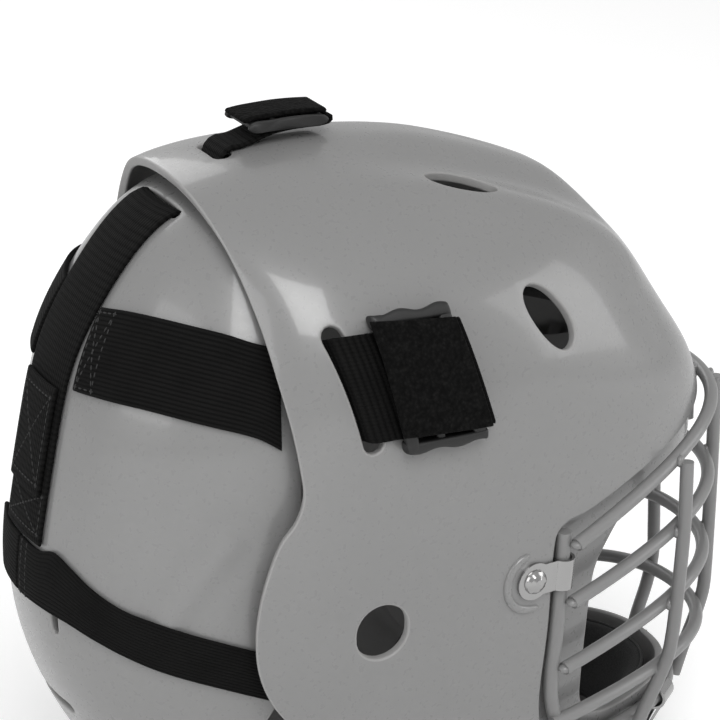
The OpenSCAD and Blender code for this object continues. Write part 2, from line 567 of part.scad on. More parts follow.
// Band down the middle of the plate between heights, w wide
module back_band(w, low, high, near, far, rows) {
    function lay(i, j, d) = let(k = level(PLATE, low + (high - low) * j / rows), x = w * (0.5 - i / 4))
        off_skin(PLATE, 180 - asin(x / (loft(PLATE, 180, k)[1] - axis_y)), k, d);
    slab([for (j = [0:rows]) [for (i = [0:4]) lay(i, j, near)]], [for (j = [0:rows]) [for (i = [0:4]) lay(i, j, far)]]);
}
module centre_strap() {
    color("#1b1b1c") back_band(webbing_w, 152, 284, webbing_t + 0.5, 0.5, 18);
}
module strap_keeper() {
    color("#19191a") back_band(webbing_w - 6, 172, 218, 2 * webbing_t + 0.8, webbing_t + 0.8, 8);
}
module side_elastic_right() {
    color("#1d1d1e") patch(PLATE, [[194.5, 220, 218 + elastic_w], [206, 221, 220 + elastic_w],
        [219, 220.5, 220 + elastic_w], [235, 216, 217 + elastic_w], [245, 211.5, 213 + elastic_w],
        [251, 206, 211 + elastic_w]], 2.3, fit, 4, 3);
}
module lower_strap_right() {
    color("#1d1d1e") patch(PLATE, [[180.2, 126, 150.5], [190, 126.5, 150.5], [195, 126, 153], [200, 125, 150],
        [207, 121, 143], [214, 116, 137], [221, 111, 133], [236, 102, 124], [250, 93, 115]], 2.3, fit, 4, 2);
}

module temple_pad_left() {
    mirror([1, 0, 0]) temple_pad_right();
}
module cheek_pad_left() {
    mirror([1, 0, 0]) cheek_pad_right();
}
module side_slider_left() {
    mirror([1, 0, 0]) side_slider_right();
}
module side_strap_left() {
    mirror([1, 0, 0]) side_strap_right();
}
module side_tail_left() {
    mirror([1, 0, 0]) side_tail_right();
}
module side_elastic_left() {
    mirror([1, 0, 0]) side_elastic_right();
}
module lower_strap_left() {
    mirror([1, 0, 0]) lower_strap_right();
}

// Puts the middle of the whole object over the origin
mid_shift = 4.2;
module placed() {
    translate([0, mid_shift, 0]) children();
}
placed() mask_shell();
placed() brow_wire();
placed() crossbars();
placed() uprights();
placed() cage_frame_rod();
placed() cage_clips();
placed() clip_screws();
placed() clip_nuts();
placed() lace_eyelets();
placed() forehead_pad();
placed() crown_pad();
placed() temple_pad_right();
placed() temple_pad_left();
placed() cheek_pad_right();
placed() cheek_pad_left();
placed() chin_pad();
placed() top_strap();
placed() top_slider();
placed() top_tail();
placed() side_slider_right();
placed() side_slider_left();
placed() side_strap_right();
placed() side_strap_left();
placed() side_tail_right();
placed() side_tail_left();
placed() backplate();
placed() backplate_pad();
placed() centre_strap();
placed() side_elastic_right();
placed() side_elastic_left();
placed() lower_strap_right();
placed() lower_strap_left();
placed() strap_keeper();
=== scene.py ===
"""Hockey goalie mask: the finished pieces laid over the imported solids.

The shell and the back plate are trimmed walls cut from two smooth lofts, the cage is bent wire, and the harness
is webbing, elastic and moulded sliders. Working lengths are millimetres in the part's own drawing frame;
`to_frame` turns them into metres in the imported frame.
"""

import logging
import math
from dataclasses import dataclass, field
from enum import Enum
from typing import Callable, Optional, Sequence

import bmesh
import bpy
import numpy as np
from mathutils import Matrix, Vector, geometry


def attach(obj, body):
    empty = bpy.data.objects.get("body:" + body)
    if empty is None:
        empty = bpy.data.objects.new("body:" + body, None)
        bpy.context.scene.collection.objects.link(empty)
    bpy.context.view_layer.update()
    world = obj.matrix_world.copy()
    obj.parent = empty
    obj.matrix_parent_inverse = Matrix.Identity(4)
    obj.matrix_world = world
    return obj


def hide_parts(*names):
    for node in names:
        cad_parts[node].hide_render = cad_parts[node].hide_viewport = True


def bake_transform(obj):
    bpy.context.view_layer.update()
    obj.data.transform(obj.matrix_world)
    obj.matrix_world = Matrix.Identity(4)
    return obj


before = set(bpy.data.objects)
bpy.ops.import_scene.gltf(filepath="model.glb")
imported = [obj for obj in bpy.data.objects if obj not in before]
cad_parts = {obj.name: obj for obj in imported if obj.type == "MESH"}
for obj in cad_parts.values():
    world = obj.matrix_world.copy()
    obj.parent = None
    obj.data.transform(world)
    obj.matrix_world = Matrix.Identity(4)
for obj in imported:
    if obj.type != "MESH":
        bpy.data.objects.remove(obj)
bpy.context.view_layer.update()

LOG = logging.getLogger("goalie_mask")

# Sizes in drawing millimetres, as in the part's source.
MM = 0.001
MID_SHIFT = 4.2
AXIS_Y = 45.0
SQUARENESS = 2.3
SHELL_WALL = 4.0
LEDGE_DEPTH = 5.0
PLATE_WALL = 3.5
HUMP_RISE, HUMP_HALF = 8.0, 21.0
HUMP_REAR, HUMP_FRONT, HUMP_FOOT = (70, -30), (-114, -80), (236, 262)
RIDGE_RISE, RIDGE_X, RIDGE_SPREAD = 4.0, 50.0, 12
RIDGE_REAR, RIDGE_FOOT = (40, -30), (232, 256)
BROW_Z, CHIN_Z, REAR_Y = 149.0, 46.0, 84.0
WEBBING_W, WEBBING_T = 38.0, 1.8
TOP_W = 20.0
ELASTIC_W = 34.0
SLIDER_T = 5.0
WIRE_D, ROD_D = 6.0, 6.4
PAD_T = 14.0
FIT = 0.3
PAD_GAP = 0.8
ON_MIDDLE = 1e-6
FACE_OUT, FACE_RIM, FACE_IN = 0, 1, 2
ENDINGS = ("_right", "_left")

Array = np.ndarray
Tone = tuple[float, float, float, float]
Placing = Callable[[Array, Array], Array]


def smooth(low: float, high: float, x: Array) -> Array:
    """Smooth step from 0 at low to 1 at high.

    Args:
        low: Where the step starts.
        high: Where it ends; it may lie below low.
        x: Values to step.

    Returns:
        Values from 0 to 1.
    """
    t = np.clip((np.asarray(x, float) - low) / (high - low), 0.0, 1.0)
    return t * t * (3.0 - 2.0 * t)


def unit(v: Array) -> Array:
    """Vectors scaled to length 1."""
    return v / np.maximum(np.linalg.norm(v, axis=-1, keepdims=True), 1e-12)


def to_frame(points: Array) -> Array:
    """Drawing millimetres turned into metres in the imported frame."""
    return (np.asarray(points, float) + np.array([0.0, MID_SHIFT, 0.0])) * MM


def run_along(line: Array) -> Array:
    """Distance along a line at each of its points."""
    return np.concatenate([[0.0], np.cumsum(np.linalg.norm(np.diff(line, axis=0), axis=1))])


def turned(points: Array, angle: float) -> Array:
    """Flat points turned about the origin from +X towards +Y by an angle in radians."""
    c, s = math.cos(angle), math.sin(angle)
    return np.stack([points[:, 0] * c - points[:, 1] * s, points[:, 0] * s + points[:, 1] * c], axis=1)


def bisected(low: Array, high: Array, beyond: Callable[[Array], Array]) -> Array:
    """Values between low and high at which a test turns false.

    Args:
        low: Values where the test holds.
        high: Values where it doesn't.
        beyond: The test.

    Returns:
        The values, to within the rounding of the numbers.
    """
    for _ in range(34):
        mid = (low + high) / 2
        holds = beyond(mid)
        low, high = np.where(holds, mid, low), np.where(holds, high, mid)
    return (low + high) / 2


def rounded_line(points: Sequence[Sequence[float]], step: float, closed: bool = False) -> Array:
    """A smooth line through given points.

    Args:
        points: The corner points.
        step: Spacing of the returned points.
        closed: Whether the line joins up.

    Returns:
        Points along a centripetal spline, evenly spaced.
    """
    p = np.asarray(points, float)
    ext = np.vstack([p[-1], p, p[0], p[1]]) if closed else np.vstack([2 * p[0] - p[1], p, 2 * p[-1] - p[-2]])
    out = []
    for a, b, c, d in zip(ext[:-3], ext[1:-2], ext[2:-1], ext[3:]):
        t1 = np.linalg.norm(b - a) ** 0.5 + 1e-9
        t2 = t1 + np.linalg.norm(c - b) ** 0.5 + 1e-9
        t3 = t2 + np.linalg.norm(d - c) ** 0.5 + 1e-9
        t = np.linspace(t1, t2, 24, endpoint=False)[:, None]
        q1, q2, q3 = a + (b - a) * t / t1, b + (c - b) * (t - t1) / (t2 - t1), c + (d - c) * (t - t2) / (t3 - t2)
        r1, r2 = q1 + (q2 - q1) * t / t2, q2 + (q3 - q2) * (t - t1) / (t3 - t1)
        out.append(r1 + (r2 - r1) * (t - t1) / (t2 - t1))
    line = np.vstack(out + [ext[-2] if not closed else p[0]])
    return resample(line, step)


def resample(line: Array, step: float) -> Array:
    """The same line with points about a step apart, its ends kept."""
    run = run_along(line)
    n = max(2, int(round(run[-1] / step)) + 1)
    want = np.linspace(0.0, run[-1], n)
    return np.stack([np.interp(want, run, line[:, i]) for i in range(line.shape[1])], axis=1)


def signed_inside(y: Array, z: Array, outline: Array) -> Array:
    """Distance inside a closed side-view outline, negative outside.

    Args:
        y: Points' distance fore and aft.
        z: Points' height.
        outline: Closed outline of [y, z] corners.

    Returns:
        Signed distances in millimetres.
    """
    q = np.stack([y, z], axis=-1)[..., None, :]
    a, b = outline, np.roll(outline, -1, axis=0)
    ab = b - a
    t = np.clip(((q - a) * ab).sum(-1) / np.maximum((ab * ab).sum(-1), 1e-9), 0, 1)
    dist = np.linalg.norm(q - a - t[..., None] * ab, axis=-1).min(-1)
    crosses = ((a[:, 1] > q[..., 1]) != (b[:, 1] > q[..., 1])) & (
        q[..., 0] < ab[:, 0] * (q[..., 1] - a[:, 1]) / np.where(ab[:, 1] == 0, 1e-9, ab[:, 1]) + a[:, 0])
    return np.where(crosses.sum(-1) % 2 == 1, dist, -dist)


@dataclass(frozen=True)
class Loft:
    """A smooth closed skin through level sections, as in the part's source.

    Args:
        rings: Height, half width, front and rear of each level section from the ground up.
        crowned: Whether it carries the raised band and ridges of the crown.
    """

    rings: tuple[tuple[float, float, float, float], ...]
    crowned: bool

    @property
    def last(self) -> int:
        """Number of the topmost section, where the skin closes."""
        return len(self.rings) - 1

    def _radius(self, i: int, th: Array) -> Array:
        """Distance of section i from the axis at bearing th."""
        if i < 0:
            return 2 * self._radius(0, th) - self._radius(1, th)
        if i == self.last:
            return np.zeros_like(th)
        if i > self.last:
            return -self._radius(2 * self.last - i, th + math.pi)
        _, half, front, rear = self.rings[i]
        reach = np.where(np.cos(th) > 0, AXIS_Y - front, rear - AXIS_Y)
        total = (np.abs(np.cos(th)) / reach) ** SQUARENESS + (np.abs(np.sin(th)) / half) ** SQUARENESS
        return total ** (-1.0 / SQUARENESS)

    def _height(self, i: int) -> float:
        """Height of section i, carried on past both ends."""
        if i < 0:
            return 2 * self.rings[0][0] - self.rings[1][0]
        return self.rings[2 * self.last - i if i > self.last else i][0]

    def plain(self, th: Array, k: Array) -> Array:
        """Points of the skin without the crown's relief.

        Args:
            th: Bearings in radians, 0 at the front and positive to the wearer's left.
            k: Levels, 0 at the lowest section.

        Returns:
            Points in millimetres.
        """
        th, k = np.broadcast_arrays(np.asarray(th, float), np.asarray(k, float))
        i = np.clip(np.floor(k), 0, self.last).astype(int)
        f = k - i
        w = [(1 - f) ** 3, 3 * f**3 - 6 * f**2 + 4, -3 * f**3 + 3 * f**2 + 3 * f + 1, f**3]
        r, z = np.zeros_like(f), np.zeros_like(f)
        heights = np.array([self._height(j) for j in range(-1, self.last + 3)])
        for level in np.unique(i):
            m = i == level
            for j in range(4):
                r[m] += w[j][m] * self._radius(level - 1 + j, th[m]) / 6
        for j in range(4):
            z += w[j] * heights[i + j] / 6
        return np.stack([r * np.sin(th), AXIS_Y - r * np.cos(th), z], axis=-1)

    def skin(self, th: Array, k: Array) -> Array:
        """Points of the finished skin; see `plain` for the arguments."""
        p = self.plain(th, k)
        if self.crowned:
            x, y, z = p[..., 0], p[..., 1], p[..., 2]
            band = HUMP_RISE * np.exp(-((x / HUMP_HALF) ** 4)) * smooth(*HUMP_REAR, y) * smooth(*HUMP_FRONT, y)
            ridge = RIDGE_RISE * np.exp(-(((np.abs(x) - RIDGE_X) / RIDGE_SPREAD) ** 2)) * smooth(*RIDGE_REAR, y)
            p[..., 2] += band * smooth(*HUMP_FOOT, z) + ridge * smooth(*RIDGE_FOOT, z)
        return p

    def outward(self, th: Array, k: Array) -> Array:
        """Unit vectors standing out of the skin."""
        th, k = np.broadcast_arrays(np.asarray(th, float), np.asarray(k, float))
        h, d = 0.03, 0.02
        near_top = np.minimum(k, self.last - 0.12)
        across = self.skin(th + h, near_top) - self.skin(th - h, near_top)
        along = self.skin(th, near_top + d) - self.skin(th, near_top - d)
        return unit(np.cross(across, along))

    def lay(self, th: Array, k: Array, out: Array) -> Array:
        """Points standing a distance off the skin."""
        return self.skin(th, k) + np.asarray(out, float)[..., None] * self.outward(th, k)

    def level(self, z: Array) -> Array:
        """Levels at which the plain skin reaches the heights z."""
        ks = np.linspace(0, self.last, 3001)
        return np.interp(z, self.plain(np.full_like(ks, math.pi / 2), ks)[:, 2], ks)

    def bearing(self, y: Array, k: Array) -> Array:
        """Bearings on the wearer's right at which the skin reaches y at levels k."""
        y, k = np.broadcast_arrays(np.asarray(y, float), np.asarray(k, float))
        return -bisected(np.zeros_like(y), np.full_like(y, math.pi), lambda th: self.plain(th, k)[..., 1] < y)

    def from_side(self, y: Array, z: Array) -> tuple[Array, Array]:
        """Bearing and level of points seen from the wearer's right."""
        k = self.level(z)
        return self.bearing(y, k), k

    def from_plan(self, x: Array, y: Array) -> tuple[Array, Array]:
        """Bearing and level of points of the crown seen from above."""
        x, y = np.broadcast_arrays(np.asarray(x, float), np.asarray(y, float))
        th, want = np.arctan2(x, AXIS_Y - y), np.hypot(x, y - AXIS_Y)

        def wider(k: Array) -> Array:
            """Whether the skin at level k still lies outside the points."""
            p = self.plain(th, k)
            return np.hypot(p[..., 0], p[..., 1] - AXIS_Y) > want

        return th, bisected(np.full_like(want, self.last - 6.0), np.full_like(want, float(self.last)), wider)

    def seat(self, y: float, z: float) -> tuple[Array, Array, Array, Array]:
        """Point on the wearer's right with its directions ahead, up and outward."""
        th, k = self.from_side(np.array([y]), np.array([z]))
        n = self.outward(th, k)[0]
        up = unit(np.array([0.0, 0.0, 1.0]) - n[2] * n)
        return self.skin(th, k)[0], np.cross(up, n), up, n

    def seat_curve(self, y: float, z: float, curve: Array) -> tuple[Array, Array]:
        """A flat curve at a seat, pressed straight onto the skin.

        Args:
            y: Seat's distance fore and aft.
            z: Seat's height.
            curve: Points [ahead, up] about the seat.

        Returns:
            Bearings and levels of the curve.
        """
        p, ahead, up, n = self.seat(y, z)
        flat = p + curve[:, :1] * ahead + curve[:, 1:] * up
        lift = np.zeros(len(curve))
        for _ in range(6):
            q = flat + lift[:, None] * n
            if n[2] > 0.75:
                th, k = self.from_plan(q[:, 0], q[:, 1])
            else:
                th, k = np.arctan2(q[:, 0], AXIS_Y - q[:, 1]), self.level(q[:, 2])
            lift += (self.skin(th, k) - q) @ n
        return th, k


# Height, half width, front and rear of each level section.
SHELL = Loft((
    (-30, 58, -96, 90), (0, 73, -132, 100), (35, 84.5, -152, 112), (75, 94, -158, 128), (115, 100.5, -158, 142),
    (150, 104, -158, 146), (178, 105.5, -157, 133), (200, 106, -151, 118), (218, 105, -138, 110),
    (235, 102.5, -127, 107), (251, 97.5, -117, 105), (267, 88, -101, 105), (282, 73, -71, 108),
    (296, 52, -30, 112), (306, 27, 18, 72), (309, 0, AXIS_Y, AXIS_Y)), True)
PLATE = Loft((
    (10, 59, -60, 96), (35, 70, -60, 120), (60, 75.5, -60, 138), (95, 83.5, -60, 153), (130, 88, -60, 158),
    (165, 90.5, -60, 152), (200, 91, -60, 145), (228, 85.5, -60, 139), (250, 77, -60, 127), (270, 66.5, -50, 113),
    (286, 52.5, -22, 98), (295, 32, 18, 74), (298, 0, AXIS_Y, AXIS_Y)), False)


# Side-view lines of the shell's rear edge, its sunk ledge, its opening and the plate's edge.
REAR_LINE = [
    (REAR_Y + 7, 330), (REAR_Y + 7, 306), (REAR_Y + 5, 296), (REAR_Y + 1, 280), (REAR_Y - 3, 257),
    (REAR_Y - 6, 236), (REAR_Y - 9, 218), (REAR_Y - 11, 203), (REAR_Y - 12, 190), (REAR_Y - 9, 180),
    (REAR_Y - 3, 171), (REAR_Y + 2, 157), (REAR_Y + 5, 143), (REAR_Y + 6, 128), (REAR_Y + 4, 112),
    (REAR_Y - 2, 97), (REAR_Y - 12, 84), (REAR_Y - 25, 72), (REAR_Y - 40, 56), (REAR_Y - 50, 38),
    (REAR_Y - 56, 18), (REAR_Y - 60, 0)]
LEDGE_LINE = [
    (-190, BROW_Z + 46), (-158, BROW_Z + 41), (-148, BROW_Z + 37), (-138, BROW_Z + 32.5), (-110, BROW_Z + 24),
    (-84, BROW_Z + 16.3), (-60, BROW_Z + 9.1), (-51, BROW_Z + 7.6), (-45.8, BROW_Z + 3.6), (-44.2, BROW_Z - 4),
    (-44.2, BROW_Z - 40), (-44.2, CHIN_Z + 24), (-48, CHIN_Z + 8), (-56, CHIN_Z - 7), (-68, CHIN_Z - 15),
    (-86, CHIN_Z - 19), (-110, CHIN_Z - 19), (-140, CHIN_Z - 19), (-190, CHIN_Z - 19)]
OPENING_LINE = [
    (-190, BROW_Z + 31), (-158, BROW_Z + 20), (-133, BROW_Z + 12), (-112, BROW_Z + 5.5), (-97, BROW_Z + 0.5),
    (-88, BROW_Z - 3), (-80, BROW_Z - 12), (-74, BROW_Z - 22), (-72, BROW_Z - 34), (-72, CHIN_Z + 26),
    (-74, CHIN_Z + 12), (-80, CHIN_Z + 4), (-90, CHIN_Z), (-120, CHIN_Z), (-150, CHIN_Z), (-190, CHIN_Z)]
PLATE_LINE = [
    (200, 46), (160, 46), (140, 46), (114, 52), (92, 64), (79, 82), (72, 100), (69, 125), (67, 190), (66, 230),
    (68, 262), (71, 285), (73, 300), (74, 330)]
CLIP_HIGH, CLIP_LOW = (-34.5, 133.0), (-123.3, 15.0)
EYELETS = ((-50.0, 13.0), (-8.0, 13.0))
EYELET_BORE, EYELET_NECK = 6.0, 1.65
# Each vent's place fore and aft, height, and turn in degrees.
VENTS = ((-45, 245, 30), (-27, 290, 8))
VENT_LONG, VENT_WIDE = 33, 17
EAR_HOLE, EAR_RADIUS, EAR_HALF_RUN = (37.0, 125.0), 11.5, 1.0
SIDE_SLOT, SIDE_SLOT_RUN, SIDE_SLOT_RISE, SIDE_SLOT_RADIUS = (49.5, 231.5), 13.0, 43.0, 4.5
TOP_SLOT_Y, TOP_SLOT_RADIUS = 66.0, 4.0
PLATE_TOP_SLOT_Y, PLATE_TOP_SLOT_RADIUS = 91.0, 2.1
PLATE_LOW_SLOT_Z, PLATE_LOW_SLOT_RADIUS = 76.0, 2.5
PLATE_SLOT_RADIUS = 2.0
PLATE_SIDE_SLOT, PLATE_SIDE_SLOT_HALF = (75.0, 108.0), 8.0
PLATE_BACK_SLOT, PLATE_BACK_SLOT_HALF = (-28.0, 130.0), 12.0
FOLD_ENDS = ((124, 122), (95, 168))
CRESCENT_RADIUS = 13.4


def ring_line(radius: float, count: int = 40, along: float = 0.0) -> Array:
    """A closed round or long-round curve about the origin, its long axis along Y.

    Args:
        radius: Radius of its ends.
        count: Number of points.
        along: Distance of each end's centre from the middle.

    Returns:
        Points, anticlockwise.
    """
    t = np.linspace(0, 2 * math.pi, count, endpoint=False)
    return np.stack([radius * np.cos(t), radius * np.sin(t) + along * np.sign(np.sin(t) + 1e-9)], axis=1)


def oval_line(long: float, wide: float, turn: float, count: int = 56) -> Array:
    """A closed oval, its long axis turned from +Y towards -X by turn degrees."""
    t = np.linspace(0, 2 * math.pi, count, endpoint=False)
    x = wide / 2 * np.sign(np.cos(t)) * np.abs(np.cos(t)) ** 0.92
    y = long / 2 * np.sign(np.sin(t)) * np.abs(np.sin(t)) ** 0.92
    return turned(np.stack([x, y], axis=1), math.radians(turn))


@dataclass
class Wall:
    """One half of a wall trimmed from a loft, with rounded free edges, then mirrored.

    Its flat drawing is the loft unrolled about its top: distance from the middle is the run down the side.

    Args:
        loft: The skin it is cut from.
        step: Spacing of the mesh points in millimetres.
        rim: Radius of the rounded free edges.
        outer: Height of the outer face over the skin, from points of the skin.
        inner: Height of the inner face.
    """

    loft: Loft
    step: float
    rim: float
    outer: Callable[[Array], Array]
    inner: Callable[[Array], Array]
    run_k: Array = field(init=False)
    run_r: Array = field(init=False)

    def __post_init__(self) -> None:
        """Measures the run down the side of the loft."""
        self.run_k = np.linspace(self.loft.last, 0, 2401)
        self.run_r = run_along(self.loft.plain(np.full_like(self.run_k, math.pi / 2), self.run_k))

    def flat(self, th: Array, k: Array) -> Array:
        """Flat drawing points of bearings and levels."""
        r = np.interp(-np.asarray(k), -self.run_k, self.run_r)
        return np.stack([r * np.sin(th), -r * np.cos(th)], axis=-1)

    def unflat(self, flat: Array) -> tuple[Array, Array]:
        """Bearings and levels of flat drawing points."""
        r = np.hypot(flat[:, 0], flat[:, 1])
        k = np.interp(r, self.run_r, self.run_k)
        return np.arctan2(np.minimum(flat[:, 0], 0.0), -flat[:, 1]), k

    def trace(self, line: Array) -> Array:
        """A side-view line carried onto the wearer's right, closed to the middle where it runs off the skin.

        Args:
            line: Dense side-view points.

        Returns:
            Flat drawing points about a step apart.
        """
        top = self.loft.plain(np.array([math.pi / 2]), np.array([self.loft.last - 0.02]))[0, 2]
        y, z = line[:, 0], np.minimum(line[:, 1], top + 60)
        k = self.loft.level(z)
        mid = np.zeros_like(k)
        on = (z < top) & (y > self.loft.plain(mid, k)[:, 1] + 0.4)
        on &= y < self.loft.plain(mid + math.pi, k)[:, 1] - 0.4
        ids = np.nonzero(on)[0]
        th = self.loft.bearing(y[ids], k[ids])
        parts = [np.stack([th, k[ids]], axis=1)]
        run = np.arange(len(line), dtype=float)
        for at_start in (True, False):
            a, b = (ids[0], 0) if at_start else (ids[-1], len(line) - 1)
            if a == b:
                continue
            th_a = th[0] if at_start else th[-1]
            goal = 0.0 if y[a] < AXIS_Y else -math.pi
            want = np.linspace(th_a, goal, 25)[1:]
            low, high = np.full_like(want, float(a)), np.full_like(want, float(b))

            def miss(s: Array, bearings: Array = want) -> Array:
                """How far the skin lies behind the line at share s."""
                level = self.loft.level(np.interp(s, run, z))
                return self.loft.plain(bearings, level)[:, 1] - np.interp(s, run, y)

            first = np.sign(miss(low))
            for _ in range(40):
                half = (low + high) / 2
                same = np.sign(miss(half)) == first
                low, high = np.where(same, half, low), np.where(same, high, half)
            add = np.stack([want, self.loft.level(np.interp(low, run, z))], axis=1)
            parts = [add[::-1], *parts] if at_start else [*parts, add]
        both = np.vstack(parts)
        return self.even(self.flat(both[:, 0], both[:, 1]))

    def even(self, flat: Array, closed: bool = False) -> Array:
        """The same flat line with its points about a step apart on the skin."""
        line = np.vstack([flat, flat[:1]]) if closed else flat
        dense = resample(line, 0.8)
        th, k = self.unflat(dense)
        run = run_along(self.loft.plain(th, k))
        n = max(3, int(round(run[-1] / (self.step * 0.8))) + 1)
        want = np.linspace(0, run[-1], n)
        out = np.stack([np.interp(want, run, dense[:, i]) for i in (0, 1)], axis=1)
        return out[:-1] if closed else out

    def middle(self, start: float, end: float) -> Array:
        """Points on the middle line between two signed runs, front negative."""
        n = max(2, int(round(abs(end - start) / self.step)) + 1)
        return np.stack([np.zeros(n), np.linspace(start, end, n)], axis=1)

    @staticmethod
    def middle_ends(flat: Array, closed: bool) -> list[int]:
        """Which ends of an edge lie on the middle line; a hole has none."""
        return [] if closed else [end for end in (0, -1) if abs(flat[end, 0]) < ON_MIDDLE]

    def drawn_in(self, flat: Array, closed: bool) -> tuple[Array, Array]:
        """A free edge moved into the wall by the rim radius.

        Args:
            flat: The true edge.
            closed: Whether it is a hole.

        Returns:
            The moved edge, and unit vectors into the wall.
        """
        th, k = self.unflat(flat)
        p = self.loft.skin(th, k)
        t = np.roll(p, -1, axis=0) - np.roll(p, 1, axis=0) if closed else np.gradient(p, axis=0)
        into = unit(np.cross(self.loft.outward(th, k), unit(t)))
        ends = self.middle_ends(flat, closed)
        for end in ends:
            into[end, 0] = 0.0
            into[end] = unit(into[end])
        h = 1e-3
        dth = (self.loft.skin(th + h, k) - self.loft.skin(th - h, k)) / (2 * h)
        dk = (self.loft.skin(th, k + h) - self.loft.skin(th, k - h)) / (2 * h)
        a, b, c = (dth * dth).sum(1), (dth * dk).sum(1), (dk * dk).sum(1)
        move = into * self.rim
        u, v = (dth * move).sum(1), (dk * move).sum(1)
        det = a * c - b * b
        moved = self.flat(th + (c * u - b * v) / det, k + (a * v - b * u) / det)
        for end in ends:
            moved[end, 0] = 0.0
        return moved, into

    def mesh(self, loop: Sequence[tuple[Array, bool]], holes: Sequence[Array], guides: Sequence[Array]
             ) -> tuple[Array, list[tuple[int, ...]], list[int]]:
        """Builds the whole wall.

        Args:
            loop: Pieces of the outer edge in order, anticlockwise, each with whether it is a free edge.
            holes: Closed flat lines of the holes.
            guides: Flat lines that the mesh follows.

        Returns:
            Points in millimetres, faces, and each face's kind.
        """
        rims: list[tuple[Array, Array, bool]] = []
        edge: list[Array] = []
        for line, free in loop:
            if free:
                line, into = self.drawn_in(line, False)
                rims.append((line, into, False))
            edge.append(line)
        outline = np.vstack([line if i == 0 else line[1:] for i, line in enumerate(edge)])
        if np.linalg.norm(outline[0] - outline[-1]) < 1e-3:
            outline = outline[:-1]
        loops = [outline]
        for hole in holes:
            area = (hole[:, 0] * np.roll(hole[:, 1], -1) - np.roll(hole[:, 0], -1) * hole[:, 1]).sum()
            line = self.even(hole[::-1] if area > 0 else hole, closed=True)
            moved, into = self.drawn_in(line, True)
            rims.append((moved, into, True))
            loops.append(moved)
        fixed = np.vstack(loops + list(guides))
        points = np.vstack([fixed, self.fill(fixed, loops)])
        edges: list[tuple[int, int]] = []
        start = 0
        for i, line in enumerate(loops + list(guides)):
            n = len(line)
            edges += [(start + j, start + (j + 1) % n) for j in range(n if i < len(loops) else n - 1)]
            start += n
        verts, _, faces, *_ = geometry.delaunay_2d_cdt([Vector(p) for p in points], edges, [], 0, 1e-4)
        flat = np.array([tuple(v) for v in verts])
        tri = np.array([tuple(f) for f in faces])
        tri = tri[self.within(flat[tri].mean(axis=1), loops)]
        span = flat[tri]
        area = np.cross(span[:, 1] - span[:, 0], span[:, 2] - span[:, 0])
        real = np.abs(area) > 1e-6
        tri, area = tri[real], area[real]
        tri[area < 0] = tri[area < 0][:, ::-1]
        th, k = self.unflat(flat)
        skin, n = self.loft.skin(th, k), self.loft.outward(th, k)
        on_middle = np.abs(flat[:, 0]) < 1e-3
        n[on_middle, 0] = 0.0
        n = unit(n)
        out, inn = skin + self.outer(skin)[:, None] * n, skin + self.inner(skin)[:, None] * n
        out[on_middle, 0] = inn[on_middle, 0] = 0.0
        half = [out, inn]
        faces = [tuple(t) for t in tri.tolist()] + [tuple(t[::-1] + len(out)) for t in tri]
        kinds = [FACE_OUT] * len(tri) + [FACE_IN] * len(tri)
        base = 2 * len(out)
        for moved, into, closed in rims:
            ring, quads = self.round_edge(moved, into, closed)
            half.append(ring)
            faces += [tuple(base + i for i in q) for q in quads]
            kinds += [FACE_RIM] * len(quads)
            base += len(ring)
        right = np.vstack(half)
        faces += [tuple(i + len(right) for i in f[::-1]) for f in faces]
        return np.vstack([right, right * np.array([-1.0, 1.0, 1.0])]), faces, kinds * 2

    def round_edge(self, moved: Array, into: Array, closed: bool) -> tuple[Array, list[tuple[int, ...]]]:
        """The rounded rim from the outer face over a free edge to the inner face.

        Args:
            moved: The drawn-in edge.
            into: Unit vectors into the wall.
            closed: Whether the edge is a hole.

        Returns:
            Points and faces of the rim.
        """
        th, k = self.unflat(moved)
        skin, n = self.loft.skin(th, k), self.loft.outward(th, k)
        ends = self.middle_ends(moved, closed)
        for end in ends:
            n[end, 0] = 0.0
        n = unit(n)
        out, inn = skin + self.outer(skin)[:, None] * n, skin + self.inner(skin)[:, None] * n
        a = np.radians([0.0, 22.0, 45.0, 68.0, 90.0])
        rows = [out - into * self.rim * math.sin(t) - n * self.rim * (1 - math.cos(t)) for t in a]
        rows += [inn - into * self.rim * math.sin(t) + n * self.rim * (1 - math.cos(t)) for t in a[::-1]]
        grid = np.stack(rows, axis=1)
        for end in ends:
            grid[end, :, 0] = 0.0
        count, wide = grid.shape[:2]
        quads = []
        for j in range(count if closed else count - 1):
            q = (j + 1) % count
            quads += [(j * wide + i, j * wide + i + 1, q * wide + i + 1, q * wide + i) for i in range(wide - 1)]
        return grid.reshape(-1, 3), quads

    def fill(self, fixed: Array, loops: Sequence[Array]) -> Array:
        """Evenly spread flat points inside the outline and clear of its lines."""
        th_f, k_f = self.unflat(fixed)
        near = self.loft.plain(th_f, k_f)
        rows = []
        for r in np.arange(self.step * 0.7, self.run_r[-1], self.step):
            k = float(np.interp(r, self.run_r, self.run_k))
            th = np.linspace(-math.pi, 0, 721)
            ring = self.loft.plain(th, np.full_like(th, k))
            run = run_along(ring)
            n = int(run[-1] / self.step)
            if n > 1:
                at = np.interp((np.arange(n) + 0.5) / n * run[-1], run, th)
                rows.append(self.flat(at, np.full_like(at, k)))
        flat = np.vstack(rows)
        flat = flat[self.within(flat, loops)]
        th, k = self.unflat(flat)
        p = self.loft.plain(th, k)
        keep = np.ones(len(p), bool)
        for i in range(0, len(p), 400):
            d = np.linalg.norm(p[i:i + 400, None] - near[None], axis=2).min(axis=1)
            keep[i:i + 400] = d > self.step * 0.55
        return flat[keep]

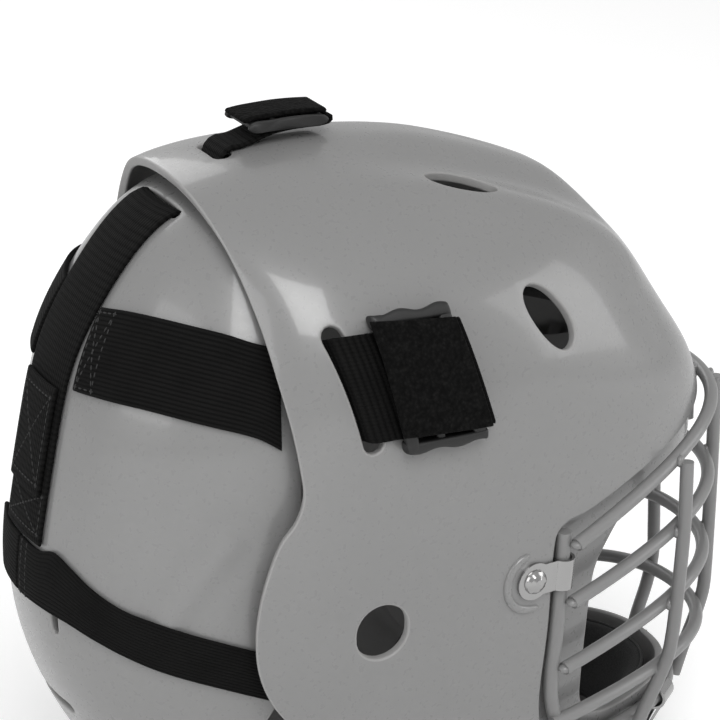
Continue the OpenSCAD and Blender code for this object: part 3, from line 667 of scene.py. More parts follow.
    @staticmethod
    def within(flat: Array, loops: Sequence[Array]) -> Array:
        """Whether flat points lie inside the outline and outside its holes."""
        odd = np.zeros(len(flat), int)
        for line in loops:
            a, b = line, np.roll(line, -1, axis=0)
            for i in range(0, len(flat), 2000):
                q = flat[i:i + 2000, None]
                up = (a[:, 1] > q[..., 1]) != (b[:, 1] > q[..., 1])
                rise = np.where(b[:, 1] == a[:, 1], 1e-12, b[:, 1] - a[:, 1])
                cut = q[..., 0] < (b[:, 0] - a[:, 0]) * (q[..., 1] - a[:, 1]) / rise + a[:, 0]
                odd[i:i + 2000] += (up & cut).sum(axis=1)
        return odd % 2 == 1


class Body(Enum):
    """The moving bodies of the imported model."""

    MASK = "mask"
    REAR = "rear"
    TOP_TAIL = "top_tail"
    RIGHT_TAIL = "right_tail"
    LEFT_TAIL = "left_tail"


class Nodes:
    """Short names for building one node tree.

    Args:
        tree: The tree to build in.
    """

    def __init__(self, tree: bpy.types.NodeTree) -> None:
        self.tree = tree

    def add(self, kind: str, inputs: Optional[dict[str, object]] = None, **settings: object) -> bpy.types.Node:
        """Adds a node, with settings as attributes and inputs as values or links."""
        node = self.tree.nodes.new(kind)
        for key, value in settings.items():
            setattr(node, key, value)
        for key, value in (inputs or {}).items():
            socket = node.inputs[key]
            if isinstance(value, bpy.types.NodeSocket):
                self.tree.links.new(value, socket)
            else:
                socket.default_value = value
        return node

    def math(self, kind: str, a: object, b: object = 0.0) -> bpy.types.NodeSocket:
        """A math node's result."""
        node = self.add("ShaderNodeMath", operation=kind)
        for i, value in enumerate((a, b)):
            if isinstance(value, bpy.types.NodeSocket):
                self.tree.links.new(value, node.inputs[i])
            else:
                node.inputs[i].default_value = value
        return node.outputs[0]


def grey(value: float, warmth: float = 0.0) -> Tone:
    """A linear grey, slightly warm or cool."""
    return value * (1 + warmth), value, value * (1 - warmth), 1.0


class Surface(Nodes):
    """The node tree of one material.

    Args:
        name: Name of the material.
        tone: Its tone in plain views.
    """

    def __init__(self, name: str, tone: Tone) -> None:
        self.material = bpy.data.materials.new(name)
        self.material.use_nodes = True
        self.material.diffuse_color = tone
        super().__init__(self.material.node_tree)
        self.shader = self.tree.nodes["Principled BSDF"]
        self.where = self.add("ShaderNodeTexCoord").outputs["Object"]

    def noise(self, size: float, detail: float) -> bpy.types.NodeSocket:
        """Soft noise with features of a size in millimetres."""
        values = {"Vector": self.where, "Scale": 1 / (size * MM), "Detail": detail}
        return self.add("ShaderNodeTexNoise", values).outputs["Fac"]

    def tones(self, share: bpy.types.NodeSocket, low: Tone, high: Tone) -> None:
        """Colours the surface between two tones by a share."""
        mix = self.add("ShaderNodeMix", data_type="RGBA")
        self.tree.links.new(share, mix.inputs[0])
        mix.inputs[6].default_value, mix.inputs[7].default_value = low, high
        self.tree.links.new(mix.outputs[2], self.shader.inputs["Base Color"])

    def relief(self, height: bpy.types.NodeSocket, strength: float, depth: float) -> None:
        """Gives the surface a relief with a depth in millimetres."""
        bump = self.add("ShaderNodeBump", {"Height": height, "Strength": strength, "Distance": depth * MM})
        self.tree.links.new(bump.outputs["Normal"], self.shader.inputs["Normal"])

    def plain(self, values: dict[str, object]) -> bpy.types.Material:
        """Sets the shader's plain values and returns the material."""
        for key, value in values.items():
            self.shader.inputs[key].default_value = value
        return self.material


TEXTILE = {"Specular IOR Level": 0.05, "Sheen Weight": 0.01}


@dataclass(frozen=True)
class Coating:
    """A smooth finish: paint, plating, moulded plastic or foam.

    Args:
        name: Name of the material.
        tone: Linear grey level.
        warmth: Tint, warm above 0.
        roughness: Mean roughness.
        metallic: 1 for bare metal.
        coat: Weight of the clear coat.
        mottle: Share by which the tone wanders.
        blotch: Size of the wandering in millimetres.
        grain: Size of the surface grain in millimetres.
        depth: Height of the grain in millimetres.
    """

    name: str
    tone: float
    warmth: float = 0.0
    roughness: float = 0.4
    metallic: float = 0.0
    coat: float = 0.0
    mottle: float = 0.06
    blotch: float = 30.0
    grain: float = 1.0
    depth: float = 0.05

    def material(self) -> bpy.types.Material:
        """Builds the material."""
        n = Surface(self.name, grey(self.tone, self.warmth))
        n.tones(n.noise(self.blotch, 4.0), grey(self.tone * (1 - self.mottle), self.warmth),
                grey(self.tone * (1 + self.mottle), self.warmth))
        fine = n.noise(self.grain, 3.0)
        rough = n.add("ShaderNodeMapRange", {"Value": fine, "From Min": 0.3, "From Max": 0.7,
                                            "To Min": self.roughness * 0.86, "To Max": min(1, self.roughness * 1.14)})
        n.tree.links.new(rough.outputs["Result"], n.shader.inputs["Roughness"])
        n.relief(fine, 0.6, self.depth)
        return n.plain({"Metallic": self.metallic, "Coat Weight": self.coat, "Coat Roughness": 0.08})


@dataclass(frozen=True)
class Weave:
    """A woven finish on a strap's own map, in millimetres across and along.

    Args:
        name: Name of the material.
        tone: Linear grey level.
        rib: Spacing of the ribs across the strap, 0 for none.
        cord: Spacing of the threads along the strap.
        depth: Height of the relief in millimetres.
        fuzz: Share of loose fibre.
    """

    name: str
    tone: float
    rib: float
    cord: float
    depth: float = 0.25
    fuzz: float = 0.2

    def material(self) -> bpy.types.Material:
        """Builds the material."""
        n = Surface(self.name, grey(self.tone))
        split = n.add("ShaderNodeSeparateXYZ", {"Vector": n.add("ShaderNodeUVMap", uv_map="strap").outputs["UV"]})
        across, along = split.outputs["X"], split.outputs["Y"]
        fibre, cloud = n.noise(0.9, 4.0), n.noise(14, 3.0)
        cords = n.math("ABSOLUTE", n.math("SINE", n.math("MULTIPLY", across, math.pi / self.cord)))
        height = cords
        if self.rib:
            ribs = n.math("ABSOLUTE", n.math("SINE", n.math("MULTIPLY", along, math.pi / self.rib)))
            height = n.math("ADD", n.math("MULTIPLY", ribs, 0.72), n.math("MULTIPLY", cords, 0.28))
        height = n.math("ADD", height, n.math("MULTIPLY", fibre, self.fuzz))
        # The colour follows the relief: darker in the grooves and lighter on the cords and rib tops, a painted shade
        # and highlight, wandering with a soft noise.
        n.tones(n.math("MULTIPLY", height, n.math("ADD", cloud, 0.35)), grey(self.tone * 0.45),
                grey(self.tone * 1.7, 0.02))
        n.relief(height, 0.8, self.depth)
        return n.plain({"Roughness": 0.82, **TEXTILE})


@dataclass(frozen=True)
class LoopPile:
    """The rough face of hook-and-loop tape.

    Args:
        name: Name of the material.
        tone: Linear grey level.
        tuft: Spacing of the tufts in millimetres.
    """

    name: str = "loop_pile"
    tone: float = 0.0055
    tuft: float = 1.5

    def material(self) -> bpy.types.Material:
        """Builds the material."""
        n = Surface(self.name, grey(self.tone))
        tufts = n.add("ShaderNodeTexVoronoi", {"Vector": n.where, "Scale": 1 / (self.tuft * MM)}).outputs["Distance"]
        height = n.math("ADD", n.math("MULTIPLY", n.math("SUBTRACT", 1.0, tufts), 0.55),
                        n.math("MULTIPLY", n.noise(3, 5.0), 0.9))
        # The colour follows the tufts' relief: lighter on their tops and darker between them, a painted highlight and
        # shade.
        n.tones(n.math("POWER", n.math("MULTIPLY", height, 0.78), 3.0), grey(self.tone * 0.4),
                grey(self.tone * 2.8, 0.02))
        n.relief(height, 1.0, 0.7)
        return n.plain({"Roughness": 0.95, **TEXTILE})


@dataclass
class Finishes:
    """Every finish of the mask, made once."""

    shell: bpy.types.Material = field(init=False)
    rim: bpy.types.Material = field(init=False)
    inside: bpy.types.Material = field(init=False)
    wire: bpy.types.Material = field(init=False)
    chrome: bpy.types.Material = field(init=False)
    nut: bpy.types.Material = field(init=False)
    eyelet: bpy.types.Material = field(init=False)
    foam: bpy.types.Material = field(init=False)
    welt: bpy.types.Material = field(init=False)
    webbing: bpy.types.Material = field(init=False)
    elastic: bpy.types.Material = field(init=False)
    pile: bpy.types.Material = field(init=False)
    slider: bpy.types.Material = field(init=False)
    thread: bpy.types.Material = field(init=False)

    def __post_init__(self) -> None:
        """Makes the materials."""
        self.shell = Coating("shell_paint", 0.205, 0.004, 0.3, coat=0.5, mottle=0.03, blotch=45, grain=2.4,
                             depth=0.012).material()
        # Lighter than the shell paint on the rounded free edges: a painted highlight where the edges catch the light.
        self.rim = Coating("cut_edge", 0.27, 0.01, 0.5, mottle=0.06, blotch=8, grain=0.8, depth=0.06).material()
        self.inside = Coating("shell_inside", 0.15, 0.01, 0.6, mottle=0.1, blotch=12, grain=1.2, depth=0.12).material()
        self.wire = Coating("wire_paint", 0.2, 0.004, 0.36, coat=0.25, mottle=0.03, grain=1.0, depth=0.02).material()
        self.chrome = Coating("chrome_plate", 0.4, 0.006, 0.16, metallic=1.0, mottle=0.03, blotch=6, grain=0.5,
                              depth=0.01).material()
        self.nut = Coating("zinc_plate", 0.5, 0.02, 0.32, metallic=1.0, mottle=0.08, blotch=4, grain=0.6,
                           depth=0.02).material()
        self.eyelet = Coating("black_enamel", 0.02, 0.0, 0.3, coat=0.3, mottle=0.1, blotch=5).material()
        self.foam = Coating("dark_foam", 0.014, 0.0, 0.9, mottle=0.22, blotch=5, grain=0.7, depth=0.3).material()
        self.welt = Coating("pad_binding", 0.009, 0.0, 0.7, mottle=0.15, blotch=3, grain=0.5, depth=0.1).material()
        self.webbing = Weave("strap_webbing", 0.0045, 2.8, 1.6, 0.9).material()
        self.elastic = Weave("strap_elastic", 0.0045, 0.0, 1.7, 0.45, 0.35).material()
        self.pile = LoopPile().material()
        self.slider = Coating("moulded_slider", 0.007, 0.0, 0.5, mottle=0.12, blotch=9, grain=0.5,
                              depth=0.04).material()
        self.thread = Coating("sewing_thread", 0.012, 0.0, 0.75, mottle=0.2, blotch=2, grain=0.3, depth=0.03).material()


def raise_mesh(name: str, points: Array, faces: Sequence[Sequence[int]], finishes: Sequence[bpy.types.Material],
               kinds: Optional[Sequence[int]] = None, strap: Optional[Array] = None, sharp: float = 50.0,
               outward: bool = False) -> bpy.types.Object:
    """Makes an object at the origin from drawing points.

    Args:
        name: Name of the piece.
        points: Points in drawing millimetres.
        faces: Faces as point numbers.
        finishes: Materials by kind.
        kinds: Each face's kind.
        strap: Each point's place on the strap's map.
        sharp: Angle above which an edge stays sharp, in degrees.
        outward: Whether the faces' directions are worked out afresh.

    Returns:
        The object.
    """
    mesh = bpy.data.meshes.new(name)
    mesh.from_pydata(to_frame(points).tolist(), [], [tuple(int(i) for i in f) for f in faces])
    if strap is not None:
        uv = mesh.uv_layers.new(name="strap")
        index = np.zeros(len(mesh.loops), int)
        mesh.loops.foreach_get("vertex_index", index)
        uv.data.foreach_set("uv", np.asarray(strap, np.float32)[index].ravel())
    for mat in finishes:
        mesh.materials.append(mat)
    if kinds is not None:
        mesh.polygons.foreach_set("material_index", np.asarray(kinds, np.int32))
    bm = bmesh.new()
    bm.from_mesh(mesh)
    bmesh.ops.remove_doubles(bm, verts=bm.verts, dist=2e-5)
    bmesh.ops.dissolve_degenerate(bm, edges=bm.edges, dist=1e-6)
    if outward:
        bmesh.ops.recalc_face_normals(bm, faces=bm.faces)
    bm.to_mesh(mesh)
    bm.free()
    return stand(name, mesh, sharp)


def stand(name: str, mesh: bpy.types.Mesh, sharp: float = 50.0) -> bpy.types.Object:
    """Puts a finished mesh in the scene, shaded smooth but for its sharp edges."""
    mesh.polygons.foreach_set("use_smooth", [True] * len(mesh.polygons))
    mesh.set_sharp_from_angle(angle=math.radians(sharp))
    mesh.name = name
    obj = bpy.data.objects.new(name, mesh)
    bpy.context.scene.collection.objects.link(obj)
    return obj


def mirrored(obj: bpy.types.Object, name: str) -> bpy.types.Object:
    """A copy of a piece for the wearer's left."""
    mesh = obj.data.copy()
    bm = bmesh.new()
    bm.from_mesh(mesh)
    for v in bm.verts:
        v.co.x = -v.co.x
    bmesh.ops.reverse_faces(bm, faces=bm.faces)
    bm.to_mesh(mesh)
    bm.free()
    return stand(name, mesh)


def joined(name: str, parts: Sequence[bpy.types.Object]) -> bpy.types.Object:
    """One piece from several, their materials kept."""
    mats: list[bpy.types.Material] = []
    bm = bmesh.new()
    for part in parts:
        slots = []
        for mat in part.data.materials:
            if mat not in mats:
                mats.append(mat)
            slots.append(mats.index(mat))
        first = len(bm.faces)
        bm.from_mesh(part.data)
        bm.faces.ensure_lookup_table()
        for f in bm.faces[first:]:
            f.material_index = slots[min(f.material_index, len(slots) - 1)]
    mesh = bpy.data.meshes.new(name)
    bm.to_mesh(mesh)
    bm.free()
    for mat in mats:
        mesh.materials.append(mat)
    for part in parts:
        old = part.data
        bpy.data.objects.remove(part)
        bpy.data.meshes.remove(old)
    return stand(name, mesh)


class Grower:
    """Geometry node trees that make tubes along lines and small forms at points."""

    def __init__(self) -> None:
        self.tube_tree = self._tube()
        self.seed_tree = self._seeds()

    @staticmethod
    def _start(name: str, inputs: Sequence[tuple[str, str]]) -> tuple[Nodes, bpy.types.Node, bpy.types.Node]:
        """A new tree with its named inputs."""
        tree = bpy.data.node_groups.new(name, "GeometryNodeTree")
        tree.interface.new_socket("Geometry", in_out="INPUT", socket_type="NodeSocketGeometry")
        for label, kind in inputs:
            tree.interface.new_socket(label, in_out="INPUT", socket_type=kind)
        tree.interface.new_socket("Geometry", in_out="OUTPUT", socket_type="NodeSocketGeometry")
        n = Nodes(tree)
        return n, n.add("NodeGroupInput"), n.add("NodeGroupOutput")

    @staticmethod
    def _end(n: Nodes, made: bpy.types.NodeSocket, start: bpy.types.Node, end: bpy.types.Node) -> bpy.types.NodeTree:
        """Smooth shading, real geometry and the material."""
        smooth_shade = n.add("GeometryNodeSetShadeSmooth", {"Geometry": made})
        real = n.add("GeometryNodeRealizeInstances", {"Geometry": smooth_shade.outputs[0]})
        dressed = n.add("GeometryNodeSetMaterial", {"Geometry": real.outputs[0],
                                                   "Material": start.outputs["Finish"]})
        n.tree.links.new(dressed.outputs[0], end.inputs["Geometry"])
        return n.tree

    def _tube(self) -> bpy.types.NodeTree:
        """A round tube along each line, swelling with the points' swell."""
        n, start, end = self._start("tube_along_line", [
            ("Diameter", "NodeSocketFloat"), ("Facets", "NodeSocketInt"), ("Finish", "NodeSocketMaterial")])
        line = n.add("GeometryNodeMeshToCurve", {"Mesh": start.outputs["Geometry"]})
        swell = n.add("GeometryNodeInputNamedAttribute", {"Name": "swell"}, data_type="FLOAT")
        sized = n.add("GeometryNodeSetCurveRadius", {"Curve": line.outputs[0], "Radius": swell.outputs[0]})
        ring = n.add("GeometryNodeCurvePrimitiveCircle", {"Resolution": start.outputs["Facets"], "Radius": n.math(
            "MULTIPLY", start.outputs["Diameter"], 0.5)})
        tube = n.add("GeometryNodeCurveToMesh", {"Curve": sized.outputs[0], "Profile Curve": ring.outputs[0],
                                                "Fill Caps": True})
        return self._end(n, tube.outputs[0], start, end)

    def _seeds(self) -> bpy.types.NodeTree:
        """A small rounded form at each point, turned and stretched as the points say."""
        n, start, end = self._start("forms_at_points", [
            ("Radius", "NodeSocketFloat"), ("Facets", "NodeSocketInt"), ("Finish", "NodeSocketMaterial")])
        ball = n.add("GeometryNodeMeshUVSphere", {"Segments": start.outputs["Facets"], "Rings": 6,
                                                 "Radius": start.outputs["Radius"]})
        turn = n.add("GeometryNodeInputNamedAttribute", {"Name": "turn"}, data_type="FLOAT_VECTOR")
        size = n.add("GeometryNodeInputNamedAttribute", {"Name": "stretch"}, data_type="FLOAT_VECTOR")
        placed = n.add("GeometryNodeInstanceOnPoints", {
            "Points": start.outputs["Geometry"], "Instance": ball.outputs[0], "Rotation": turn.outputs[0],
            "Scale": size.outputs[0]})
        return self._end(n, placed.outputs[0], start, end)

    @staticmethod
    def run(name: str, tree: bpy.types.NodeTree, points: Array, edges: Sequence[tuple[int, int]],
            extra: dict[str, Array], values: dict[str, object]) -> bpy.types.Mesh:
        """Runs a tree on bare points and lines and returns the plain mesh.

        Args:
            name: Name for the mesh.
            tree: The tree to run.
            points: Points in drawing millimetres.
            edges: Pairs of point numbers.
            extra: Values carried by the points.
            values: The tree's inputs by name.

        Returns:
            The finished mesh.
        """
        mesh = bpy.data.meshes.new(name + "_lines")
        mesh.from_pydata(to_frame(points).tolist(), [tuple(e) for e in edges], [])
        for key, data in extra.items():
            flat = np.asarray(data, np.float32)
            kind, slot = ("FLOAT", "value") if flat.ndim == 1 else ("FLOAT_VECTOR", "vector")
            mesh.attributes.new(key, kind, "POINT").data.foreach_set(slot, flat.ravel())
        holder = bpy.data.objects.new(name + "_lines", mesh)
        bpy.context.scene.collection.objects.link(holder)
        mod = holder.modifiers.new("grow", "NODES")
        mod.node_group = tree
        for item in tree.interface.items_tree:
            if item.item_type == "SOCKET" and item.in_out == "INPUT" and item.name in values:
                mod[item.identifier] = values[item.name]
        holder.update_tag()
        graph = bpy.context.evaluated_depsgraph_get()
        graph.update()
        made = bpy.data.meshes.new_from_object(holder.evaluated_get(graph), depsgraph=graph)
        holder.modifiers.clear()
        bpy.data.objects.remove(holder)
        bpy.data.meshes.remove(mesh)
        return made

    def tubes(self, name: str, lines: Sequence[Array], diameter: float, finish: bpy.types.Material,
              facets: int = 20, rounded: bool = False) -> bpy.types.Object:
        """Tubes along open lines.

        Args:
            name: Name of the piece.
            lines: Lines in drawing millimetres.
            diameter: Tube diameter in millimetres.
            finish: Its material.
            facets: Facets round the tube.
            rounded: Whether the ends are domed.

        Returns:
            The piece.
        """
        pts, edges, swell, start = [], [], [], 0
        for line in lines:
            fat = np.ones(len(line))
            if rounded:
                line, fat = self.domed(line, diameter / 2)
            pts.append(line)
            swell.append(fat)
            edges += [(start + i, start + i + 1) for i in range(len(line) - 1)]
            start += len(line)
        mesh = self.run(name, self.tube_tree, np.vstack(pts), edges, {"swell": np.concatenate(swell)}, {
            "Diameter": diameter * MM, "Facets": facets, "Finish": finish})
        return stand(name, mesh, 55.0)

    @staticmethod
    def domed(line: Array, radius: float) -> tuple[Array, Array]:
        """A line with closely set points at both ends, and the widths that round them."""
        run = run_along(line)
        a = np.radians([3.0, 22.0, 42.0, 62.0, 80.0])
        near = radius * (1 - np.cos(a))
        mid = run[(run > radius) & (run < run[-1] - radius)]
        want = np.concatenate([near, mid, run[-1] - near[::-1]])
        fat = np.concatenate([np.sin(a), np.ones(len(mid)), np.sin(a)[::-1]])
        return np.stack([np.interp(want, run, line[:, i]) for i in range(3)], axis=1), fat

    def seeds(self, name: str, points: Array, turns: Array, stretch: Array, radius: float,
              finish: bpy.types.Material, facets: int = 10) -> bpy.types.Object:
        """Rounded forms at points.

        Args:
            name: Name of the piece.
            points: Centres in drawing millimetres.
            turns: Euler angles in radians.
            stretch: Scale along each axis.
            radius: Radius in millimetres before the stretch.
            finish: Its material.
            facets: Facets round each form.

        Returns:
            The piece.
        """
        mesh = self.run(name, self.seed_tree, points, [], {"turn": turns, "stretch": stretch}, {
            "Radius": radius * MM, "Facets": facets, "Finish": finish})
        return stand(name, mesh, 80.0)


@dataclass
class Workshop:
    """What every sub-assembly shares: the finishes, the node trees and the fixing of pieces to bodies."""

    finishes: Finishes
    grower: Grower

    @staticmethod
    def fix(piece: bpy.types.Object, body: Body, slot: str, *nodes: str) -> bpy.types.Object:
        """Hangs a piece on its body, in place of the named solids."""
        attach(piece, body.value)
        if nodes:
            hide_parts(*nodes)
        LOG.info("%s: %d faces on %s", piece.name, len(piece.data.polygons), body.value)
        return piece

    @classmethod
    def fix_pair(cls, right: bpy.types.Object, bodies: tuple[Body, Body], slot: str, node: str) -> None:
        """Hangs a piece and its mirror image on their bodies.

        Args:
            right: The piece on the wearer's right, whose name ends in _right.
            bodies: The bodies of the right and the left piece.
            slot: Not used.
            node: Stem of the names of the solids that they stand for.
        """
        left = mirrored(right, right.name.replace(*ENDINGS))
        for piece, body, ending in zip((right, left), bodies, ENDINGS):
            cls.fix(piece, body, slot, node + ending)

    @staticmethod
    def stretch_pair(right: bpy.types.Object, reach: Array, node: str) -> None:
        """Makes the mirror image of an elastic and leaves both fixed in the frame, hiding the solids that they stand
        for.

        Args:
            right: The elastic on the wearer's right, whose name ends in _right.
            reach: Not used.
            node: Stem of the names of the solids that they stand for.
        """
        left = mirrored(right, right.name.replace(*ENDINGS))
        for piece, side, ending in zip((right, left), (1.0, -1.0), ENDINGS):
            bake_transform(piece)
            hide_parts(node + ending)
            LOG.info("%s: %d faces between the plate and the shell", piece.name, len(piece.data.polygons))


def sheet_faces(rows: int, cols: int) -> list[tuple[int, ...]]:
    """Faces of two grids of points, the upper one's points first and the lower one facing down."""
    o = rows * cols
    faces: list[tuple[int, ...]] = []
    for j in range(rows - 1):
        for i in range(cols - 1):
            a = j * cols + i
            faces.append((a, a + cols, a + cols + 1, a + 1))
            faces.append((o + a, o + a + 1, o + a + cols + 1, o + a + cols))
    return faces


def edge_ease(dist: Array, radius: float) -> Array:
    """How far a rounded edge has dropped at a distance from it."""
    d = np.clip(dist / radius, 0, 1)
    return radius * (1 - np.sqrt(np.maximum(0, 1 - (1 - d) ** 2)))


@dataclass(frozen=True)
class Band:
    """A flat or moulded strip with rounded edges.

    Args:
        place: Where its middle lies, from the share along, 0 to 1, and the share across, -1 to 1.
        length: Length in millimetres.
        width: Width in millimetres.
        thick: Thickness in millimetres.
        edge: Radius of its edges, at most half the thickness.
        pitch: Spacing of its points.
    """

    place: Placing
    length: float
    width: float
    thick: float
    edge: float = 0.0
    pitch: float = 2.2

    def _stations(self, length: float, radius: float) -> tuple[Array, Array]:
        """Distances along one direction, close together near its ends, and the distance to the nearer end."""
        near = radius * np.array([0.0, 0.08, 0.3, 0.62, 1.0])
        count = max(2, int(round((length - 2 * radius) / self.pitch)) + 1)
        mid = np.linspace(radius, length - radius, count)[1:-1]
        at = np.concatenate([near, mid, length - near[::-1]])
        return at, np.minimum(at, length - at)

    def grid(self, s: Array, t: Array) -> tuple[Array, Array]:
        """Middle points and unit normals at shares along and across."""
        h = 1e-3
        p = self.place(s, t)
        ds = self.place(np.clip(s + h, 0, 1), t) - self.place(np.clip(s - h, 0, 1), t)
        dt = self.place(s, np.clip(t + h, -1, 1)) - self.place(s, np.clip(t - h, -1, 1))
        return p, unit(np.cross(ds, dt))

    def build(self, name: str, finish: bpy.types.Material) -> bpy.types.Object:
        """Makes the strip.

        Args:
            name: Name of the piece.
            finish: Its material.

        Returns:
            The piece.
        """
        radius = min(self.edge or self.thick / 2, self.thick / 2, self.width / 2.05)
        along, near_a = self._stations(self.length, radius)
        across, near_w = self._stations(self.width, radius)
        s, t = np.meshgrid(along / self.length, across / self.width * 2 - 1, indexing="ij")
        p, n = self.grid(s, t)
        half = self.thick / 2 - edge_ease(near_a, radius)[:, None] - edge_ease(near_w, radius)[None, :]
        half = np.maximum(half, 0.0 if radius > self.thick / 2 - 1e-6 else 0.05)
        top, low = (p + half[..., None] * n).reshape(-1, 3), (p - half[..., None] * n).reshape(-1, 3)
        rows, cols = s.shape
        o = rows * cols
        faces = sheet_faces(rows, cols)
        rim = [(i, 0) for i in range(rows)] + [(rows - 1, i) for i in range(1, cols)]
        rim += [(i, cols - 1) for i in range(rows - 2, -1, -1)] + [(0, i) for i in range(cols - 2, 0, -1)]
        ids = [i * cols + j for i, j in rim]
        for a, b in zip(ids, ids[1:] + ids[:1]):
            faces.append((a, o + a, o + b, b))
        uv = np.stack([np.broadcast_to(across, s.shape), np.broadcast_to(along[:, None], s.shape)], axis=-1)
        uv = np.vstack([uv.reshape(-1, 2)] * 2)
        return raise_mesh(name, np.vstack([top, low]), faces, [finish], strap=uv, sharp=60, outward=True)

    def stitch_line(self, start: tuple[float, float], end: tuple[float, float], step: float, lift: float
                    ) -> tuple[Array, Array]:
        """Stitch centres and directions on the outer face between two places.

        Args:
            start: Share along and across of the first stitch.
            end: Share along and across of the last one.
            step: Spacing in millimetres.
            lift: Height over the face.

        Returns:
            Centres, and the directions in which the stitches run.
        """
        a, b = np.array(start), np.array(end)
        span = np.linalg.norm((b - a) * np.array([self.length, self.width / 2]))
        u = np.linspace(0, 1, max(2, int(span / step) + 1))[:, None]
        q = a + (b - a) * u
        p, n = self.grid(q[:, 0], q[:, 1])
        go = np.gradient(p, axis=0)
        return p + n * (self.thick / 2 + lift), unit(go)


StitchRow = tuple[Band, tuple[float, float], tuple[float, float]]
STITCH_STEP, STITCH_LIFT, STITCH_RADIUS = 3.0, -0.12, 0.95
STITCH_STRETCH = (0.42, 0.42, 1.25)


def aim(direction: Array) -> Array:
    """Euler angles that turn the Z axis to each direction."""
    return np.array([tuple(Vector(d).to_track_quat("Z", "Y").to_euler()) for d in direction])


@dataclass(frozen=True)
class Cushion:
    """A crowned closed pad whose sides draw in between its corners.

    Args:
        place: Where a point lies, from shares -1 to 1 along and across and a depth of 0 to 1 through it.
        size: Length and width in millimetres.
        fill: How full it is, from 0 to 1.
        draw: Share by which its sides draw in.
    """

    place: Callable[[Array, Array, Array], Array]
    size: tuple[float, float]
    fill: float = 0.8
    draw: float = 0.045

    def spread(self, s: Array, t: Array) -> tuple[Array, Array]:
        """Shares moved for the rounded corners and the drawn-in sides."""
        u = s * np.sqrt(1 - t * t / 7) * (1 - self.draw * (1 - t * t))
        v = t * np.sqrt(1 - s * s / 7) * (1 - self.draw * (1 - s * s))
        return u, v

    def build(self, shop: Workshop, name: str) -> list[bpy.types.Object]:
        """Makes the pad and the binding round its edge.

        Args:
            shop: Finishes and trees.
            name: Name of the pad.

        Returns:
            The pad and its binding.
        """
        rows, cols = (max(16, int(v / 2.6)) for v in self.size)
        s, t = np.meshgrid(*(np.sin(np.linspace(-1, 1, n) * math.pi / 2) for n in (rows, cols)), indexing="ij")
        u, v = self.spread(s, t)
        m = np.clip((np.abs(s) ** 7 + np.abs(t) ** 7) ** (1 / 7), 0, 1)
        swell = np.where(np.maximum(np.abs(s), np.abs(t)) > 1 - 1e-9, 0.0, np.sqrt(np.maximum(0, 1 - m**6)))
        crown = 1 - 0.16 * (s * s + t * t) / 2
        seam = 0.3
        wrinkle = 0.018 * np.sin(9 * u + 4 * v) * np.sin(7 * v - 3 * u)
        top = self.place(u, v, np.clip(seam + (1 - seam) * swell * crown + wrinkle * swell, 0, 1))
        low = self.place(u, v, seam - (seam - 0.02) * swell)
        pad = raise_mesh(name, np.vstack([top.reshape(-1, 3), low.reshape(-1, 3)]), sheet_faces(rows, cols),
                         [shop.finishes.foam], sharp=75, outward=True)
        edge = np.linspace(-1, 1, 60)
        one = np.ones_like(edge)
        ring_s = np.concatenate([edge, one, edge[::-1], -one])
        ring_t = np.concatenate([-one, edge, one, edge[::-1]])
        u, v = self.spread(ring_s, ring_t)
        line = resample(self.place(u, v, np.full_like(u, seam)), 2.0)
        binding = shop.grower.tubes(name + "_binding", [line], 1.6, shop.finishes.welt, 8, rounded=True)
        return [pad, binding]


def lay_side(loft: Loft, y: Array, z: Array, out: Array) -> Array:
    """Points on the wearer's right over side-view places, a height off the skin."""
    th, k = loft.from_side(y, z)
    return loft.lay(th, k, np.broadcast_to(out, th.shape))


def quad_place(corners: Sequence[tuple[float, float]], out: float, wave: float = 0.0) -> Placing:
    """A strip between four side-view corners, running from the first pair to the second.

    Args:
        corners: Start low side, start high side, end high side, end low side.
        out: Height of its middle off the skin.
        wave: Height of a wave along its high side, in millimetres.

    Returns:
        The placing function of a band.
    """
    a, b, c, d = (np.array(q, float) for q in corners)

    def place(s: Array, t: Array) -> Array:
        """Point at the shares along and across."""
        u = ((t + 1) / 2)[..., None]
        q = (1 - s[..., None]) * ((1 - u) * a + u * b) + s[..., None] * ((1 - u) * d + u * c)
        q = q + np.array([0.0, 1.0]) * (wave * np.sin(s * 4 * math.pi) * u[..., 0])[..., None]
        return lay_side(SHELL, q[..., 0], q[..., 1], np.full(s.shape, out))

    return place


